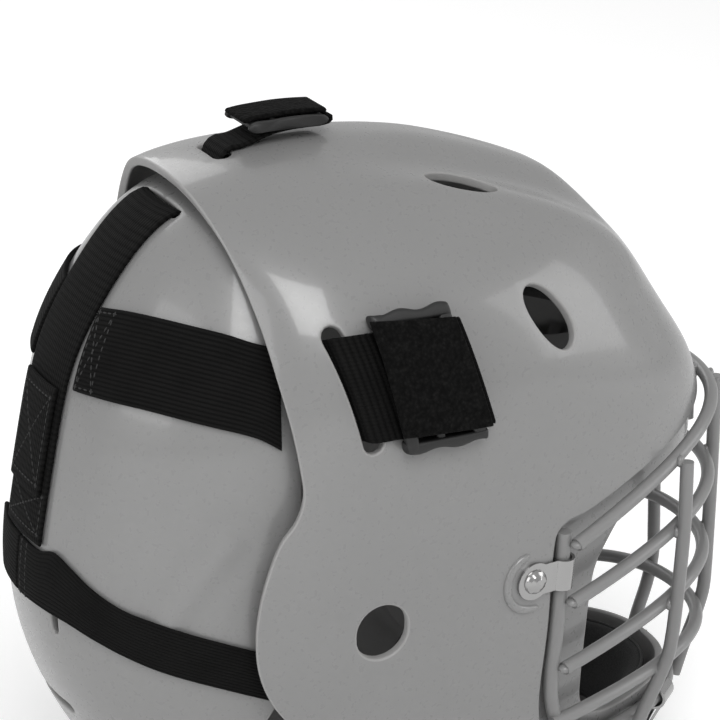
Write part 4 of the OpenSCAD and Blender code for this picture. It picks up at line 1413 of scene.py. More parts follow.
@dataclass
class ShellAndPlate:
    """The mask's shell and the plate behind the head, each a trimmed wall.

    Args:
        step: Spacing of the shell's points in millimetres.
        plate_step: Spacing of the plate's.
        rim: Radius of the free edges.
    """

    step: float = 2.7
    plate_step: float = 3.1
    rim: float = 0.9

    def ledge(self) -> tuple[Array, Callable[[Array], Array]]:
        """The line of the sunk ledge and the distance inside it."""
        line = rounded_line(LEDGE_LINE, 1.5)
        return line, lambda p: signed_inside(p[:, 1], p[:, 2], line)

    def shell(self, shop: Workshop) -> bpy.types.Object:
        """Builds the shell.

        Args:
            shop: Finishes and trees.

        Returns:
            The shell.
        """
        ledge, inside = self.ledge()
        wall = Wall(SHELL, self.step, self.rim,
                    lambda p: -LEDGE_DEPTH * smooth(0.0, 1.7, inside(p)),
                    lambda p: -SHELL_WALL - LEDGE_DEPTH * smooth(-5.0, -2.8, inside(p)))
        rear = wall.trace(rounded_line(REAR_LINE, 1.5))
        opening = wall.trace(rounded_line(OPENING_LINE, 1.5)[::-1])
        low = float(SHELL.level(np.array([0.0]))[0])
        th0 = float(SHELL.bearing(np.array([REAR_Y - 60.0]), np.array([low]))[0])
        foot_th = np.linspace(th0, 0.0, 400)
        foot = wall.even(wall.flat(foot_th, np.full_like(foot_th, low)))
        foot[-1, 0] = 0.0
        slot = self.half_slot(wall, SHELL.from_plan, TOP_SLOT_Y, TOP_W / 2 - 2.0, TOP_SLOT_RADIUS)
        rear[0, 0] = opening[0, 0] = opening[-1, 0] = 0.0
        loop = [(rear, True), (foot, True), (wall.middle(foot[-1, 1], opening[0, 1]), False), (opening, True),
                (wall.middle(opening[-1, 1], slot[0, 1]), False), (slot, True),
                (wall.middle(slot[-1, 1], rear[0, 1]), False)]
        ear = ring_line(EAR_RADIUS, 60, EAR_HALF_RUN) + np.array(EAR_HOLE)
        long = ring_line(SIDE_SLOT_RADIUS, 60, math.hypot(SIDE_SLOT_RUN, SIDE_SLOT_RISE) / 2)
        side = turned(long, -math.atan2(SIDE_SLOT_RUN, SIDE_SLOT_RISE)) + np.array(SIDE_SLOT)
        holes = [wall.flat(*SHELL.seat_curve(y, z, oval_line(VENT_LONG, VENT_WIDE, turn))) for y, z, turn in VENTS]
        holes += [wall.flat(*SHELL.from_side(line[:, 0], line[:, 1])) for line in (ear, side)]
        neck = ring_line(EYELET_BORE / 2 + EYELET_NECK)
        holes += [wall.flat(*SHELL.seat_curve(y, z, neck)) for y, z in EYELETS]
        guides = []
        turn = unit(np.gradient(ledge, axis=0))
        off = np.stack([-turn[:, 1], turn[:, 0]], axis=1)
        for d in (-1.2, -0.5, 0.0, 0.55, 1.15, 1.7, 2.4):
            guide = wall.trace(ledge + off * d)
            guide[0, 0] = guide[-1, 0] = 0.0
            guides.append(guide)
        points, faces, kinds = wall.mesh(loop, holes, guides)
        f = shop.finishes
        piece = raise_mesh("shell", points, faces, [f.shell, f.rim, f.inside], kinds, sharp=60)
        return shop.fix(piece, Body.MASK, "shell", "mask_shell")

    @staticmethod
    def half_slot(wall: Wall, find: Callable[[Array, Array], tuple[Array, Array]], mid: float, reach: float,
                  radius: float) -> Array:
        """The wearer's right half of a slot across the middle.

        Args:
            wall: The wall that it is cut in.
            find: Bearings and levels of places across and along.
            mid: Place of its middle, along.
            reach: Half its straight run.
            radius: Half its width, below 0 where it starts at its far edge.

        Returns:
            Flat drawing points from the middle line round to the middle line.
        """
        straight, a = np.linspace(0, -reach, 12)[:-1], np.linspace(-math.pi / 2, math.pi / 2, 16)
        back = np.linspace(-reach, 0, 12)[1:]
        across = np.concatenate([straight, -reach - abs(radius) * np.cos(a), back])
        along = np.concatenate([np.full(11, mid - radius), mid + radius * np.sin(a), np.full(11, mid + radius)])
        flat = wall.even(wall.flat(*find(np.minimum(across, -ON_MIDDLE), along)))
        flat[0, 0] = flat[-1, 0] = 0.0
        return flat

    def boss_rib(self, shop: Workshop) -> bpy.types.Object:
        """The moulded crescents round the clip screws."""
        parts = []
        for (y, z), start, end, name in ((CLIP_HIGH, 105.0, 285.0, "high"), (CLIP_LOW, 195.0, 345.0, "low")):
            a = np.radians(np.linspace(start, end, 40))
            line = CRESCENT_RADIUS * np.stack([np.cos(a), np.sin(a)], axis=1)
            th, k = SHELL.seat_curve(y, z, line)

            def place(s: Array, t: Array, th: Array = th, k: Array = k) -> Array:
                """Point of the crescent."""
                u = np.linspace(0, 1, len(th))
                taper = np.sqrt(np.clip(1 - (2 * s - 1) ** 6, 0.02, 1))
                base = SHELL.skin(np.interp(s, u, th), np.interp(s, u, k))
                out = unit(base - SHELL.seat(y, z)[0])
                n = SHELL.outward(np.interp(s, u, th), np.interp(s, u, k))
                return base + out * (1.9 * t * taper)[..., None] + n * (0.5 * taper - 0.6)[..., None]

            band = Band(place, CRESCENT_RADIUS * abs(a[-1] - a[0]), width=3.8, thick=3.0, edge=1.4, pitch=1.2)
            part = band.build("crescent_" + name, shop.finishes.shell)
            parts += [part, mirrored(part, "crescent_left_" + name)]
        return shop.fix(joined("clip_bosses", parts), Body.MASK, "shell")

    def plate(self, shop: Workshop) -> bpy.types.Object:
        """Builds the plate behind the head.

        Args:
            shop: Finishes and trees.

        Returns:
            The plate.
        """
        a, b = (lay_side(PLATE, np.array([y]), np.array([z]), np.zeros(1))[0] for y, z in FOLD_ENDS)

        def relief(p: Array) -> Array:
            """Height of the pressed fold."""
            t = np.clip(((p - a) @ (b - a)) / ((b - a) @ (b - a)), 0, 1)
            d = np.linalg.norm(p - a - t[:, None] * (b - a), axis=1)
            return 1.1 * np.exp(-((d / 4.0) ** 2)) - 0.5 * np.exp(-(((d - 7) / 5.0) ** 2))

        wall = Wall(PLATE, self.plate_step, self.rim, relief, lambda p: np.full(len(p), -PLATE_WALL))
        edge = wall.trace(rounded_line(PLATE_LINE, 1.5))
        edge[0, 0] = edge[-1, 0] = 0.0
        reach = WEBBING_W / 2 - 1.0
        top = self.half_slot(wall, PLATE.from_plan, PLATE_TOP_SLOT_Y, reach, PLATE_TOP_SLOT_RADIUS)
        low = self.half_slot(wall, self.from_back, PLATE_LOW_SLOT_Z, reach, -PLATE_LOW_SLOT_RADIUS)
        loop = [(edge, True), (wall.middle(edge[-1, 1], top[0, 1]), False), (top, True),
                (wall.middle(top[-1, 1], low[0, 1]), False), (low, True),
                (wall.middle(low[-1, 1], edge[0, 1]), False)]
        holes = []
        for find, place, half in ((PLATE.from_side, PLATE_SIDE_SLOT, PLATE_SIDE_SLOT_HALF),
                                  (self.from_back, PLATE_BACK_SLOT, PLATE_BACK_SLOT_HALF)):
            curve = ring_line(PLATE_SLOT_RADIUS, along=half) + np.array(place)
            holes.append(wall.flat(*find(curve[:, 0], curve[:, 1])))
        points, faces, kinds = wall.mesh(loop, holes, [])
        f = shop.finishes
        piece = raise_mesh("plate", points, faces, [f.shell, f.rim, f.inside], kinds, sharp=60)
        return shop.fix(piece, Body.REAR, "plate", "backplate")

    @staticmethod
    def from_back(x: Array, z: Array) -> tuple[Array, Array]:
        """Bearings and levels of the plate's points seen from behind, x at most 0."""
        k = PLATE.level(z)
        return bisected(np.full_like(k, -math.pi), np.full_like(k, -math.pi / 2),
                        lambda th: PLATE.plain(th, k)[..., 0] > x), k

    def build(self, shop: Workshop) -> None:
        """Builds both walls and the crescents."""
        self.shell(shop)
        self.boss_rib(shop)
        self.plate(shop)


@dataclass
class Cage:
    """The bent and welded wire cage on its frame rod.

    Args:
        half_top: Half width of the cage at its top.
        taper: How much narrower each side is at the chin.
        weld: How far crossing wires sink into each other.
        rod_z: Height of the rod under the chin.
        crossbars: Height in front and slope of each crossbar, the brow bar first.
        uprights: Share of the half width and top of each upright.
        rod_points: Side-view places of the rod down the side.
    """

    half_top: float = 98.0
    taper: float = 19.0
    weld: float = 0.4
    rod_z: float = 38.0
    crossbars: tuple[tuple[float, float], ...] = ((182.4, -0.34), (144.4, -0.24), (107.0, -0.2), (70.0, -0.12))
    uprights: tuple[tuple[float, float], ...] = ((-24 / 98, 180.0), (24 / 98, 180.0), (-75 / 98, 166.0),
                                                 (75 / 98, 166.0))
    rod_points: tuple[tuple[float, float], ...] = (
        (-50, 151.5), (-50, 140), (-50, 120), (-50, 100), (-50, 82), (-52, 68), (-58, 54), (-68, 45), (-82, 40))

    def half(self, z: Array) -> Array:
        """Half width at height z."""
        return self.half_top - self.taper * np.clip((146 - z) / 108, 0, 1) ** 1.5

    def plan(self, u: Array, z: Array) -> tuple[Array, Array]:
        """Across and fore-and-aft places at share u of the half width."""
        back = 10.7 * np.clip((70 - z) / 32, 0, 1) ** 2
        return u * self.half(z), back - 161 + 40 * u**2 + 67 * u**4

    def at(self, u: Array, z: Array, push: Array) -> Array:
        """Points of the cage's face, pushed outward."""
        u, z, push = np.broadcast_arrays(np.asarray(u, float), np.asarray(z, float), np.asarray(push, float))
        x, y = self.plan(u, z)
        xa, ya = self.plan(u - 0.02, z)
        xb, yb = self.plan(u + 0.02, z)
        run = np.hypot(xb - xa, yb - ya)
        return np.stack([x + push * (yb - ya) / run, y - push * (xb - xa) / run, z], axis=-1)

    def bar(self, z0: float, slope: float) -> Array:
        """A crossbar from one side to the other."""
        u = np.linspace(-1, 1, 90)
        _, y = self.plan(u, np.full_like(u, z0))
        return self.at(u, z0 + slope * (y + 161), 0.0)

    def upright(self, u: float, top: float) -> Array:
        """An upright over the crossbars and in to the rod."""
        reach = (ROD_D + WIRE_D) / 2 - self.weld - self.rod_seat
        z = top + (self.rod_z - 3 - top) * np.arange(12) / 11
        x, y = self.plan(np.array(u), np.array(self.rod_z))
        th = -math.atan2(-x, AXIS_Y - y)
        w = smooth(82, 42, z)[:, None]
        low = SHELL.lay(np.full_like(z, th), SHELL.level(z), np.full_like(z, reach))
        return rounded_line((1 - w) * self.at(u, z, WIRE_D - self.weld) + w * low, 3.0)

    @property
    def rod_seat(self) -> float:
        """How deep the rod's middle lies under the skin."""
        return LEDGE_DEPTH - ROD_D / 2 - 2.5 * FIT

    def rod(self) -> Array:
        """The frame rod from side to side under the chin."""
        q = np.array(self.rod_points, float)
        side = lay_side(SHELL, q[:, 0], q[:, 1], -self.rod_seat)
        th = np.radians(np.arange(-25.5, -4, 4.25))
        k = np.full_like(th, SHELL.level(np.array([self.rod_z]))[0])
        front = SHELL.lay(th, k, np.full_like(th, -self.rod_seat))
        chin = SHELL.lay(np.zeros(1), k[:1], np.array([-self.rod_seat]))
        half = np.vstack([side, front])
        return rounded_line(np.vstack([half, chin, half[::-1] * np.array([-1, 1, 1])]), 2.5)

    def welds(self, thin: Sequence[Array], thick: Sequence[Array]) -> tuple[Array, Array, Array]:
        """Places, turns and stretches of the weld beads where lines pass close by each other."""
        places, turns = [], []
        for a in thin:
            for b in thick:
                d = np.linalg.norm(a[:, None] - b[None], axis=2)
                for side in (-1, 1):
                    rows = np.nonzero(np.sign(a[:, 0] + 1e-6) == side)[0]
                    if not len(rows):
                        continue
                    i, j = np.unravel_index(np.argmin(d[rows]), d[rows].shape)
                    if d[rows[i], j] < 7.5:
                        spot = (a[rows[i]] + b[j]) / 2
                        if all(np.linalg.norm(spot - q) > 5 for q in places):
                            places.append(spot)
                            turns.append(unit(a[rows[i]] - b[j]))
        stretch = np.tile([1.25, 1.25, 0.8], (len(places), 1))
        return np.array(places), aim(np.array(turns)), stretch

    def build(self, shop: Workshop) -> None:
        """Builds the wires, the rod and the weld beads."""
        grow, paint = shop.grower, shop.finishes.wire
        brow, *bars = (self.bar(z, slope) for z, slope in self.crossbars)
        uprights = [self.upright(u, top) for u, top in self.uprights]
        stub_z = np.array([184.0, 171.0, 159.0])
        stub_push = np.array([1.6, self.weld, self.weld]) - WIRE_D
        stubs = [rounded_line(self.at(u, stub_z, stub_push), 3) for u in (-0.2, 0.2)]
        rod = self.rod()
        shop.fix(grow.tubes("brow_bar", [brow], WIRE_D, paint), Body.MASK, "cage", "brow_wire")
        shop.fix(grow.tubes("cross_bars", bars, WIRE_D, paint), Body.MASK, "cage", "crossbars")
        shop.fix(grow.tubes("upright_bars", uprights + stubs, WIRE_D, paint), Body.MASK, "cage", "uprights")
        shop.fix(grow.tubes("frame_rod", [rod], ROD_D, paint, 22, rounded=True), Body.MASK, "cage", "cage_frame_rod")
        spots, turns, stretch = self.welds(uprights + stubs + [brow] + bars, [brow] + bars + [rod])
        beads = grow.seeds("weld_beads", spots, turns, stretch, 2.3, paint, 14)
        shop.fix(beads, Body.MASK, "cage")


@dataclass
class Padding:
    """The foam pads inside the shell and the plate.

    Args:
        lining: Depth of the lining's face under the skin.
        nip: Gap between the lining and the pads under the brow and the crown.
    """

    lining: float = SHELL_WALL + PAD_GAP
    nip: float = 0.4

    @staticmethod
    def station_place(loft: Loft, stations: Sequence[tuple[float, float, float]], near: float, far: float
                      ) -> Callable[[Array, Array, Array], Array]:
        """A pad between stations of bearing, lower and upper height, from the near to the far height off the skin."""
        st = np.array(stations, float)
        share = np.linspace(-1, 1, len(st))

        def place(u: Array, v: Array, d: Array) -> Array:
            """Point of the pad."""
            th, low, high = (np.interp(v, share, st[:, i]) for i in range(3))
            z = low + (high - low) * (u + 1) / 2
            return loft.lay(np.radians(th), loft.level(z), near + (far - near) * d)

        return place

    def crown_place(self, u: Array, v: Array, d: Array) -> Array:
        """Point of the round pad under the crown."""
        x, y = 41 * v * np.sqrt(1 - u * u / 2.3), 15 - 45 * u * np.sqrt(1 - v * v / 2.3)
        th, k = SHELL.from_plan(x, y)
        return SHELL.lay(th, np.minimum(k, SHELL.last - 1.1), -self.lining - self.nip - (PAD_T - 2.4) * d)

    def build(self, shop: Workshop) -> None:
        """Builds every pad."""
        near = -self.lining
        forehead = [(th, BROW_Z + 55, BROW_Z + (89 if abs(th) > 30 else 91)) for th in (-40, -20, 0, 20, 40)]
        temple = [(-84, 196, 236), (-74, 194, 238), (-62, 194, 236), (-52, 198, 226)]
        cheek = [(-78, 60, 104), (-72, 54, 118), (-65, 52, 118), (-58, 56, 116)]
        chin = [(th, 5, 42) for th in (-26, -13, 0, 13, 26)]
        back = [(128, 110, 226), (145, 92, 240), (162, 84, 248), (180, 82, 250), (198, 84, 248), (215, 92, 240),
                (232, 110, 226)]
        chin_near = -LEDGE_DEPTH - SHELL_WALL - 2.5
        plate_near = -PLATE_WALL - PAD_GAP
        place = self.station_place
        jobs = [
            ("forehead", place(SHELL, forehead, near - self.nip, near - PAD_T), (36, 190), "forehead_pad", Body.MASK),
            ("crown", self.crown_place, (100, 84), "crown_pad", Body.MASK),
            ("temple", place(SHELL, temple, near, near - PAD_T), (42, 66), "temple_pad_right", Body.MASK),
            ("cheek", place(SHELL, cheek, near, near - PAD_T - 6), (62, 46), "cheek_pad_right", Body.MASK),
            ("chin", place(SHELL, chin, chin_near, chin_near - PAD_T + 5.7), (37, 150), "chin_pad", Body.MASK),
            ("back", place(PLATE, back, plate_near, plate_near - PAD_T + 2), (160, 190), "backplate_pad", Body.REAR)]
        for name, where, size, node, body in jobs:
            cushion = Cushion(where, size)
            pad, binding = cushion.build(shop, name + "_cushion")
            shop.fix(pad, body, "foam", node)
            shop.fix(binding, body, "foam")
            if node.endswith("_right"):
                left = mirrored(pad, name + "_cushion_left")
                shop.fix(left, body, "foam", node.replace("_right", "_left"))
                shop.fix(mirrored(binding, name + "_cushion_binding_left"), body, "foam")


def line_band(line: Sequence[tuple[float, float]], width: float, thick: float) -> Band:
    """A strap across the head that lies on a side-view line.

    Args:
        line: Points [y, z] in order.
        width: Width across the head.
        thick: Thickness of the strap.

    Returns:
        The strap.
    """
    lift = thick / 2
    dense = rounded_line(line, 0.7)
    run = run_along(dense)
    go = unit(np.gradient(dense, axis=0))
    mid = dense + lift * np.stack([go[:, 1], -go[:, 0]], axis=1)

    def place(s: Array, t: Array) -> Array:
        """Point of the strap."""
        y, z = (np.interp(s * run[-1], run, mid[:, i]) for i in (0, 1))
        return np.stack([-t * width / 2, y, z], axis=-1)

    return Band(place, float(run[-1]), width, thick)


def probed_band(place: Placing, count: int, width: float, thick: float) -> Band:
    """A strap whose length is measured along its middle at a number of points."""
    middle = place(np.linspace(0, 1, count), np.zeros(count))
    return Band(place, float(np.linalg.norm(np.diff(middle, axis=0), axis=1).sum()), width, thick)


@dataclass
class Harness:
    """The straps, sliders and loose tails.

    Args:
        top_run: Side-view line of the top strap's inner face.
        tail_run: Side-view line of the top tail's inner face.
        side_run: Fore-and-aft places of the side strap along its low edge, and heights off the skin.
        tuck_at: Shares of the centre webbing's turn into its slot.
        tuck_ahead: How far it has moved back at each of them.
        tuck_up: How far it has moved up.
        rail: Side-view outline of the top slider's rails.
        rail_section: Places across a rail and how far its outline is drawn in there.
        rail_bars: Fore-and-aft places of the bars between the rails.
        slider_bars: Name, corners, height off the skin, wave and size of each bar of the side slider.
        upper_stations: Bearing, lower and upper height of the side elastic's stations.
        lower_stations: The same of the lower strap.
    """

    top_run: tuple[tuple[float, float], ...] = (
        (80, 293.2), (74, 294.9), (69.2, 297.8), (66.6, 302.4), (65.2, 305.8), (62.4, 308), (58, 308.2), (52, 309.8),
        (45, 312), (37, 313.2), (28, 313.5), (21.4, 313.5), (17.6, 314.4), (16.4, 316.4), (17.6, 318.2), (19.6, 318.7))
    tail_run: tuple[tuple[float, float], ...] = (
        (57, 318.2), (52, 318.9), (44, 319.4), (36, 319.7), (28, 319.5), (22, 319.1), (19.8, 318.9))
    side_run: tuple[tuple[float, float], ...] = (
        (61, -5.8), (54, -5.7), (48.6, -5.4), (46, -4.4), (44.8, -2.4), (44.2, -0.2), (42.6, 1.2), (39.6, 1.6),
        (30, 1.6), (18, 1.6), (6, 1.6), (-5, 1.6), (-7.4, 2.6), (-8.8, 4.2), (-9, 5.4))
    tuck_at: tuple[float, ...] = (0.0, 0.18, 0.36, 0.5, 0.62, 0.75, 1.0)
    tuck_ahead: tuple[float, ...] = (0.0, -2.6, -5.2, -7.2, -8.6, -9.2, -9.4)
    tuck_up: tuple[float, ...] = (0.0, 1.2, 2.1, 2.3, 1.3, -0.6, -4.5)
    rail: tuple[tuple[float, float], ...] = (
        (21.4, 315.6), (24, 315.1), (38, 315), (48, 314.9), (54, 315), (55.8, 316.3), (55.4, 318), (53, 319.1),
        (46, 319.4), (38, 319.8), (30, 319.7), (24, 319.2), (21.4, 318.6), (20.2, 317.2))
    rail_section: tuple[tuple[float, float], ...] = (
        (-1.5, 1.0), (-1.2, 0.38), (-0.7, 0.0), (0.7, 0.0), (1.2, 0.38), (1.5, 1.0))
    rail_bars: tuple[float, ...] = (23.8, 38, 51.6)
    slider_bars: tuple[tuple[str, tuple[tuple[float, float], ...], float, float, tuple[float, ...]], ...] = (
        ("front", ((-5, 206), (1, 206), (13.5, 258), (7.5, 258)), 5.1, 0.0, (52, 6, 3.8, 1.5)),
        ("mid", ((13, 206), (17, 206), (29, 258), (25, 258)), 4.6, 0.0, (52, 4, 2.8, 1.2)),
        ("rear", ((25.5, 206), (30.9, 206), (41.9, 258), (36.5, 258)), 5.3, 0.0, (52, 5.4, 4.6, 1.7)),
        ("low", ((-5, 209.8), (-5, 205.4), (31.1, 205.4), (31.9, 209.8)), 3.9, 0.7, (37, 4.3, 7.1, 1.5)),
        ("high", ((6.6, 254.0), (7.4, 258.4), (41.9, 258.4), (40.9, 254.0)), 3.9, 0.7, (35, 4.3, 7.1, 1.5)))
    upper_stations: tuple[tuple[float, float, float], ...] = (
        (194.5, 220, 252), (206, 221, 254), (219, 220.5, 254), (235, 216, 251), (245, 211.5, 247), (251, 206, 245))
    lower_stations: tuple[tuple[float, float, float], ...] = (
        (180.2, 126, 150.5), (190, 126.5, 150.5), (195, 126, 153), (200, 125, 150), (207, 121, 143), (214, 116, 137),
        (221, 111, 133), (236, 102, 124), (250, 93, 115))

    def side_strap(self) -> Band:
        """The strap through the wearer's right slot and round the slider's front bar."""
        dense = rounded_line(self.side_run, 0.6)
        run = run_along(dense)

        def place(s: Array, t: Array) -> Array:
            """Point of the strap."""
            share = (t + 1) / 2
            y, out = (np.interp(s * run[-1], run, dense[:, i]) for i in (0, 1))
            return lay_side(SHELL, y + 12.4 * share, 210.6 + 42.4 * share, out)

        return Band(place, float(run[-1]), 43.0, WEBBING_T, pitch=1.8)

    def side_tail(self) -> Band:
        """The loose end over the wearer's right slider."""
        corners = ((-6, 211), (6.6, 253), (43.5, 256), (34, 213))
        return Band(quad_place(corners, SLIDER_T + 3.75), 39.5, 43.0, 2.1, pitch=1.8)

    def back_band(self, width: float, low: float, high: float, near: float, far: float,
                  tuck: float = 0.0) -> Band:
        """A strap down the middle of the plate.

        Args:
            width: Width in millimetres.
            low: Height of its lower end.
            high: Height at which it ends or turns to its slot.
            near: Height of its outer face off the skin.
            far: Height of its inner face.
            tuck: Share of its length that runs on over the crown of the plate and into the slot.

        Returns:
            The strap.
        """

        def place(s: Array, t: Array) -> Array:
            """Point of the strap."""
            k = PLATE.level(low + (high - low) * np.clip(s / (1 - tuck), 0, 1))
            rear = PLATE.plain(np.full_like(k, math.pi), k)[..., 1] - AXIS_Y
            th = math.pi - np.arcsin(width / 2 * t / rear)
            p = PLATE.lay(th, k, np.full(s.shape, (near + far) / 2))
            if tuck:
                u = np.clip((s - 1 + tuck) / tuck, 0, 1)
                p[..., 1] += np.interp(u, self.tuck_at, self.tuck_ahead)
                p[..., 2] += np.interp(u, self.tuck_at, self.tuck_up)
            return p

        return probed_band(place, 60, width, near - far)

    def plate_strap(self, stations: Sequence[tuple[float, float, float]], width: float) -> Band:
        """An elastic on the wearer's right of the plate through stations of bearing, lower and upper height."""
        smooth_line = rounded_line(stations, 0.5)
        run = run_along(smooth_line)

        def place(s: Array, t: Array) -> Array:
            """Point of the elastic."""
            th, low, high = (np.interp(s * run[-1], run, smooth_line[:, i]) for i in range(3))
            z = low + (high - low) * (t + 1) / 2
            return PLATE.lay(np.radians(th), PLATE.level(z), np.full(s.shape, 1.3))

        return probed_band(place, 80, width, 2.0)

    def side_slider(self, shop: Workshop) -> bpy.types.Object:
        """The moulded slider on the wearer's right."""
        parts = [Band(quad_place(corners, out, wave), *size, pitch=1.6).build("slider_" + name, shop.finishes.slider)
                 for name, corners, out, wave, size in self.slider_bars]
        return joined("side_slider_piece_right", parts)

    def top_slider(self, shop: Workshop) -> bpy.types.Object:
        """The moulded slider on the crown."""
        parts = []
        black = shop.finishes.slider
        q = resample(rounded_line(self.rail, 1.0, closed=True), 1.0)[:-1]
        centre = q.mean(axis=0)
        into = unit(centre - q)
        rows = [np.column_stack([np.full(len(q), x), q + into * pull]) for x, pull in self.rail_section]
        n, last = len(q), len(rows) - 1
        faces: list[tuple[int, ...]] = [tuple(range(n)), tuple(range(last * n, (last + 1) * n))]
        for r in range(last):
            faces += [(r * n + i, r * n + (i + 1) % n, (r + 1) * n + (i + 1) % n, (r + 1) * n + i) for i in range(n)]
        for side in (-1, 1):
            pts = np.vstack(rows) + np.array([side * (TOP_W / 2 + 2.4), 0, 0])
            parts.append(raise_mesh("rail", pts, faces, [black], sharp=50, outward=True))
        for y in self.rail_bars:
            def place(s: Array, t: Array, y: float = y) -> Array:
                """Point of a bar between the rails."""
                return np.stack([(s - 0.5) * (TOP_W + 4), y + 3 * t, np.full(s.shape, 317)], axis=-1)

            bar = Band(place, TOP_W + 4, width=6.0, thick=3.0, edge=1.4, pitch=2.0)
            parts.append(bar.build("bar", black))
        return joined("top_slider_piece", parts)

    @staticmethod
    def stitches(shop: Workshop, name: str, rows: Sequence[StitchRow], body: Body) -> bpy.types.Object:
        """Rows of stitches on straps.

        Args:
            shop: Finishes and trees.
            name: Name of the piece.
            rows: For each row its strap, first and last place.
            body: The body that carries them.

        Returns:
            The stitches.
        """
        runs = [band.stitch_line(start, end, STITCH_STEP, STITCH_LIFT) for band, start, end in rows]
        places, go = (np.vstack(part) for part in zip(*runs))
        stretch = np.tile(STITCH_STRETCH, (len(places), 1))
        piece = shop.grower.seeds(name, places, aim(go), stretch, STITCH_RADIUS, shop.finishes.thread, 7)
        return shop.fix(piece, body, "webbing")

    @staticmethod
    def box_rows(band: Band, s0: float, s1: float, reach: float) -> list[StitchRow]:
        """A stitched box on a strap between two shares along."""
        a, b, c, d = (s0, -reach), (s0, reach), (s1, reach), (s1, -reach)
        return [(band, a, b), (band, b, c), (band, c, d), (band, d, a), (band, a, c), (band, b, d)]

    def build(self, shop: Workshop) -> None:
        """Builds the harness."""
        f = shop.finishes
        top = line_band(self.top_run, TOP_W, WEBBING_T)
        shop.fix(top.build("top_strap_webbing", f.webbing), Body.MASK, "webbing", "top_strap")
        tail = line_band(self.tail_run, TOP_W, 2.2)
        shop.fix(tail.build("top_tail_pile", f.pile), Body.TOP_TAIL, "webbing", "top_tail")
        shop.fix(self.top_slider(shop), Body.MASK, "slider", "top_slider")

        on_mask, on_rear = (Body.MASK, Body.MASK), (Body.REAR, Body.REAR)
        shop.fix_pair(self.side_slider(shop), on_mask, "slider", "side_slider")
        shop.fix_pair(self.side_strap().build("side_strap_webbing_right", f.webbing), on_mask, "webbing", "side_strap")
        shop.fix_pair(self.side_tail().build("side_tail_pile_right", f.pile), (Body.RIGHT_TAIL, Body.LEFT_TAIL),
                      "webbing", "side_tail")

        centre = self.back_band(WEBBING_W, 152, 284, WEBBING_T + 0.5, 0.5, tuck=0.1)
        shop.fix(centre.build("centre_webbing", f.webbing), Body.REAR, "webbing", "centre_strap")
        keeper = self.back_band(WEBBING_W - 6, 172, 218, 2 * WEBBING_T + 0.8, WEBBING_T + 0.8)
        shop.fix(keeper.build("keeper_patch", f.webbing), Body.REAR, "webbing", "strap_keeper")
        upper = self.plate_strap(self.upper_stations, ELASTIC_W)
        lower = self.plate_strap(self.lower_stations, 25.0)
        shop.stretch_pair(upper.build("side_elastic_band_right", f.elastic),
                          to_frame(upper.place(np.array([0.55, 1.0]), np.zeros(2))), "side_elastic")
        shop.fix_pair(lower.build("lower_elastic_band_right", f.elastic), on_rear, "elastic", "lower_strap")
        self.stitches(shop, "rear_stitches", self.box_rows(keeper, 0.1, 0.9, 0.84)
                      + self.box_rows(centre, 0.03, 0.14, 0.86) + self.box_rows(upper, 0.02, 0.12, 0.88)
                      + [(lower, (0.02, -0.9), (0.02, 0.9)), (lower, (0.05, -0.9), (0.05, 0.9))], Body.REAR)


class Fittings:
    """The small metal parts, which keep their own solids."""

    @staticmethod
    def build(shop: Workshop) -> None:
        """Gives each solid its finish."""
        f = shop.finishes
        for node, mat in (("cage_clips", f.chrome), ("clip_screws", f.chrome), ("clip_nuts", f.nut),
                          ("lace_eyelets", f.eyelet)):
            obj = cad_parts[node]
            for i in range(max(1, len(obj.material_slots))):
                if i < len(obj.material_slots):
                    obj.material_slots[i].material = mat
                else:
                    obj.data.materials.append(mat)
            LOG.info("%s: finish %s", node, mat.name)


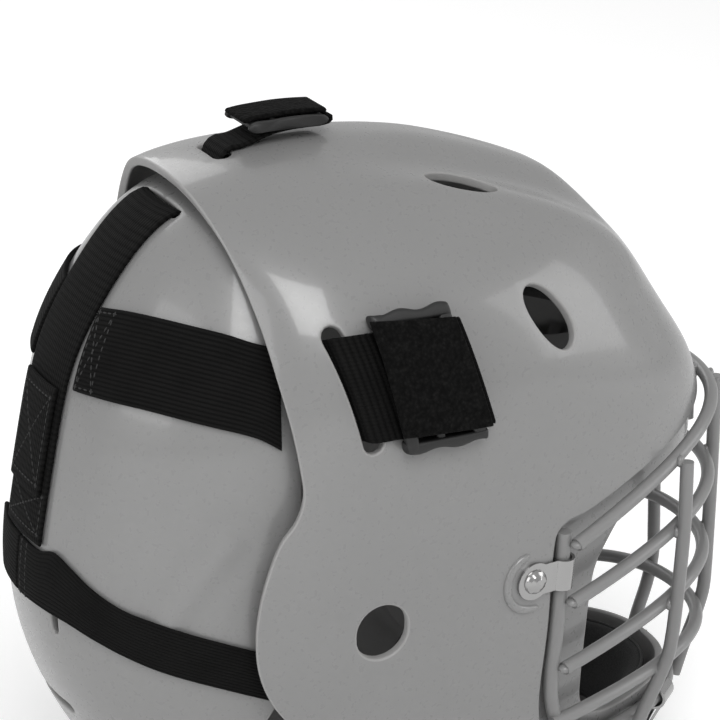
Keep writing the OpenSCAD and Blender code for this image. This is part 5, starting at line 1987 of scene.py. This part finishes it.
@dataclass(frozen=True)
class Studio:
    """The camera, the lamps, the pale floor and the surroundings.

    Args:
        eye: Camera place in metres.
        goal: Point looked at.
        lens: Focal length in millimetres on a 36 mm sensor.
        lights: Name, place, size in metres and power in watts of each lamp.
        light_goal: Point that the lamps are aimed at.
        sky: Strength of the surroundings as light and as the camera sees them.
        sky_shine: Share of the difference that reflections see.
        floor_half: Half the floor's width.
        floor_drop: How far the floor lies under the mask.
        floor_glow: Strength of the floor's own light, to the camera alone.
    """

    eye: tuple[float, float, float] = (-1.1259, 0.5292, 0.6562)
    goal: tuple[float, float, float] = (0.0, 0.0042, 0.204)
    lens: float = 153.5
    lights: tuple[tuple[str, tuple[float, float, float], float, float], ...] = (
        ("key", (-1.6, 0.35, 1.9), 1.3, 33.0), ("fill", (-0.6, 2.2, 1.1), 1.6, 15.0),
        ("front", (-0.9, -2.2, 0.9), 1.4, 12.0), ("far", (1.9, 0.3, 1.3), 1.4, 10.5))
    light_goal: tuple[float, float, float] = (0.0, 0.0, 0.18)
    sky: tuple[float, float] = (0.42, 1.0)
    sky_shine: float = 0.3
    floor_half: float = 6.0
    floor_drop: float = 0.0004
    floor_glow: float = 0.25

    def camera(self) -> None:
        """The camera at the photograph's angle."""
        data = bpy.data.cameras.new("view")
        data.lens, data.sensor_width, data.sensor_fit = self.lens, 36.0, "HORIZONTAL"
        data.clip_start, data.clip_end = 0.05, 20.0
        cam = bpy.data.objects.new("view", data)
        cam.location = self.eye
        way = Vector(self.goal) - Vector(self.eye)
        cam.rotation_euler = way.to_track_quat("-Z", "Y").to_euler()
        bpy.context.scene.collection.objects.link(cam)
        bpy.context.scene.camera = cam

    def lamps(self) -> None:
        """Soft square lamps aimed at the mask."""
        for name, place, size, power in self.lights:
            data = bpy.data.lights.new(name, "AREA")
            data.shape, data.size, data.energy = "SQUARE", size, power
            obj = bpy.data.objects.new(name, data)
            obj.location = place
            obj.rotation_euler = (Vector(self.light_goal) - Vector(place)).to_track_quat("-Z", "Y").to_euler()
            bpy.context.scene.collection.objects.link(obj)

    def surroundings(self) -> None:
        """White to the camera, pale grey as light and in between in reflections."""
        world = bpy.data.worlds.new("studio")
        world.use_nodes = True
        bpy.context.scene.world = world
        n = Nodes(world.node_tree)
        back = world.node_tree.nodes["Background"]
        path = n.add("ShaderNodeLightPath")
        shine = n.math("MULTIPLY", path.outputs["Is Glossy Ray"], self.sky_shine)
        mix = n.add("ShaderNodeMix", data_type="FLOAT")
        world.node_tree.links.new(n.math("MAXIMUM", path.outputs["Is Camera Ray"], shine), mix.inputs[0])
        mix.inputs[2].default_value, mix.inputs[3].default_value = self.sky
        back.inputs["Color"].default_value = (1, 1, 1, 1)
        world.node_tree.links.new(mix.outputs[0], back.inputs["Strength"])

    def floor(self) -> None:
        """The pale floor."""
        mesh = bpy.data.meshes.new("floor")
        r, z = self.floor_half, -self.floor_drop
        mesh.from_pydata([(-r, -r, z), (r, -r, z), (r, r, z), (-r, r, z)], [], [(0, 1, 2, 3)])
        n = Surface("floor_white", grey(0.94))
        n.tones(n.noise(500, 2.0), grey(0.93), grey(0.95))
        path = n.add("ShaderNodeLightPath").outputs["Is Camera Ray"]
        n.tree.links.new(n.math("MULTIPLY", path, self.floor_glow), n.shader.inputs["Emission Strength"])
        mesh.materials.append(n.plain({"Roughness": 0.9, "Specular IOR Level": 0.1, "Emission Color": (1, 1, 1, 1)}))
        obj = bpy.data.objects.new("floor", mesh)
        bpy.context.scene.collection.objects.link(obj)

    def build(self) -> None:
        """Sets the scene."""
        self.camera()
        self.lamps()
        self.surroundings()
        self.floor()
        bpy.context.scene.view_settings.view_transform = "Standard"


def main() -> None:
    """Builds the mask piece by piece."""
    logging.basicConfig(level=logging.INFO, format="%(name)s: %(message)s")
    Studio().build()
    shop = Workshop(Finishes(), Grower())
    ShellAndPlate().build(shop)
    Cage().build(shop)
    Padding().build(shop)
    Harness().build(shop)
    Fittings().build(shop)


if __name__ == "__main__":
    main()
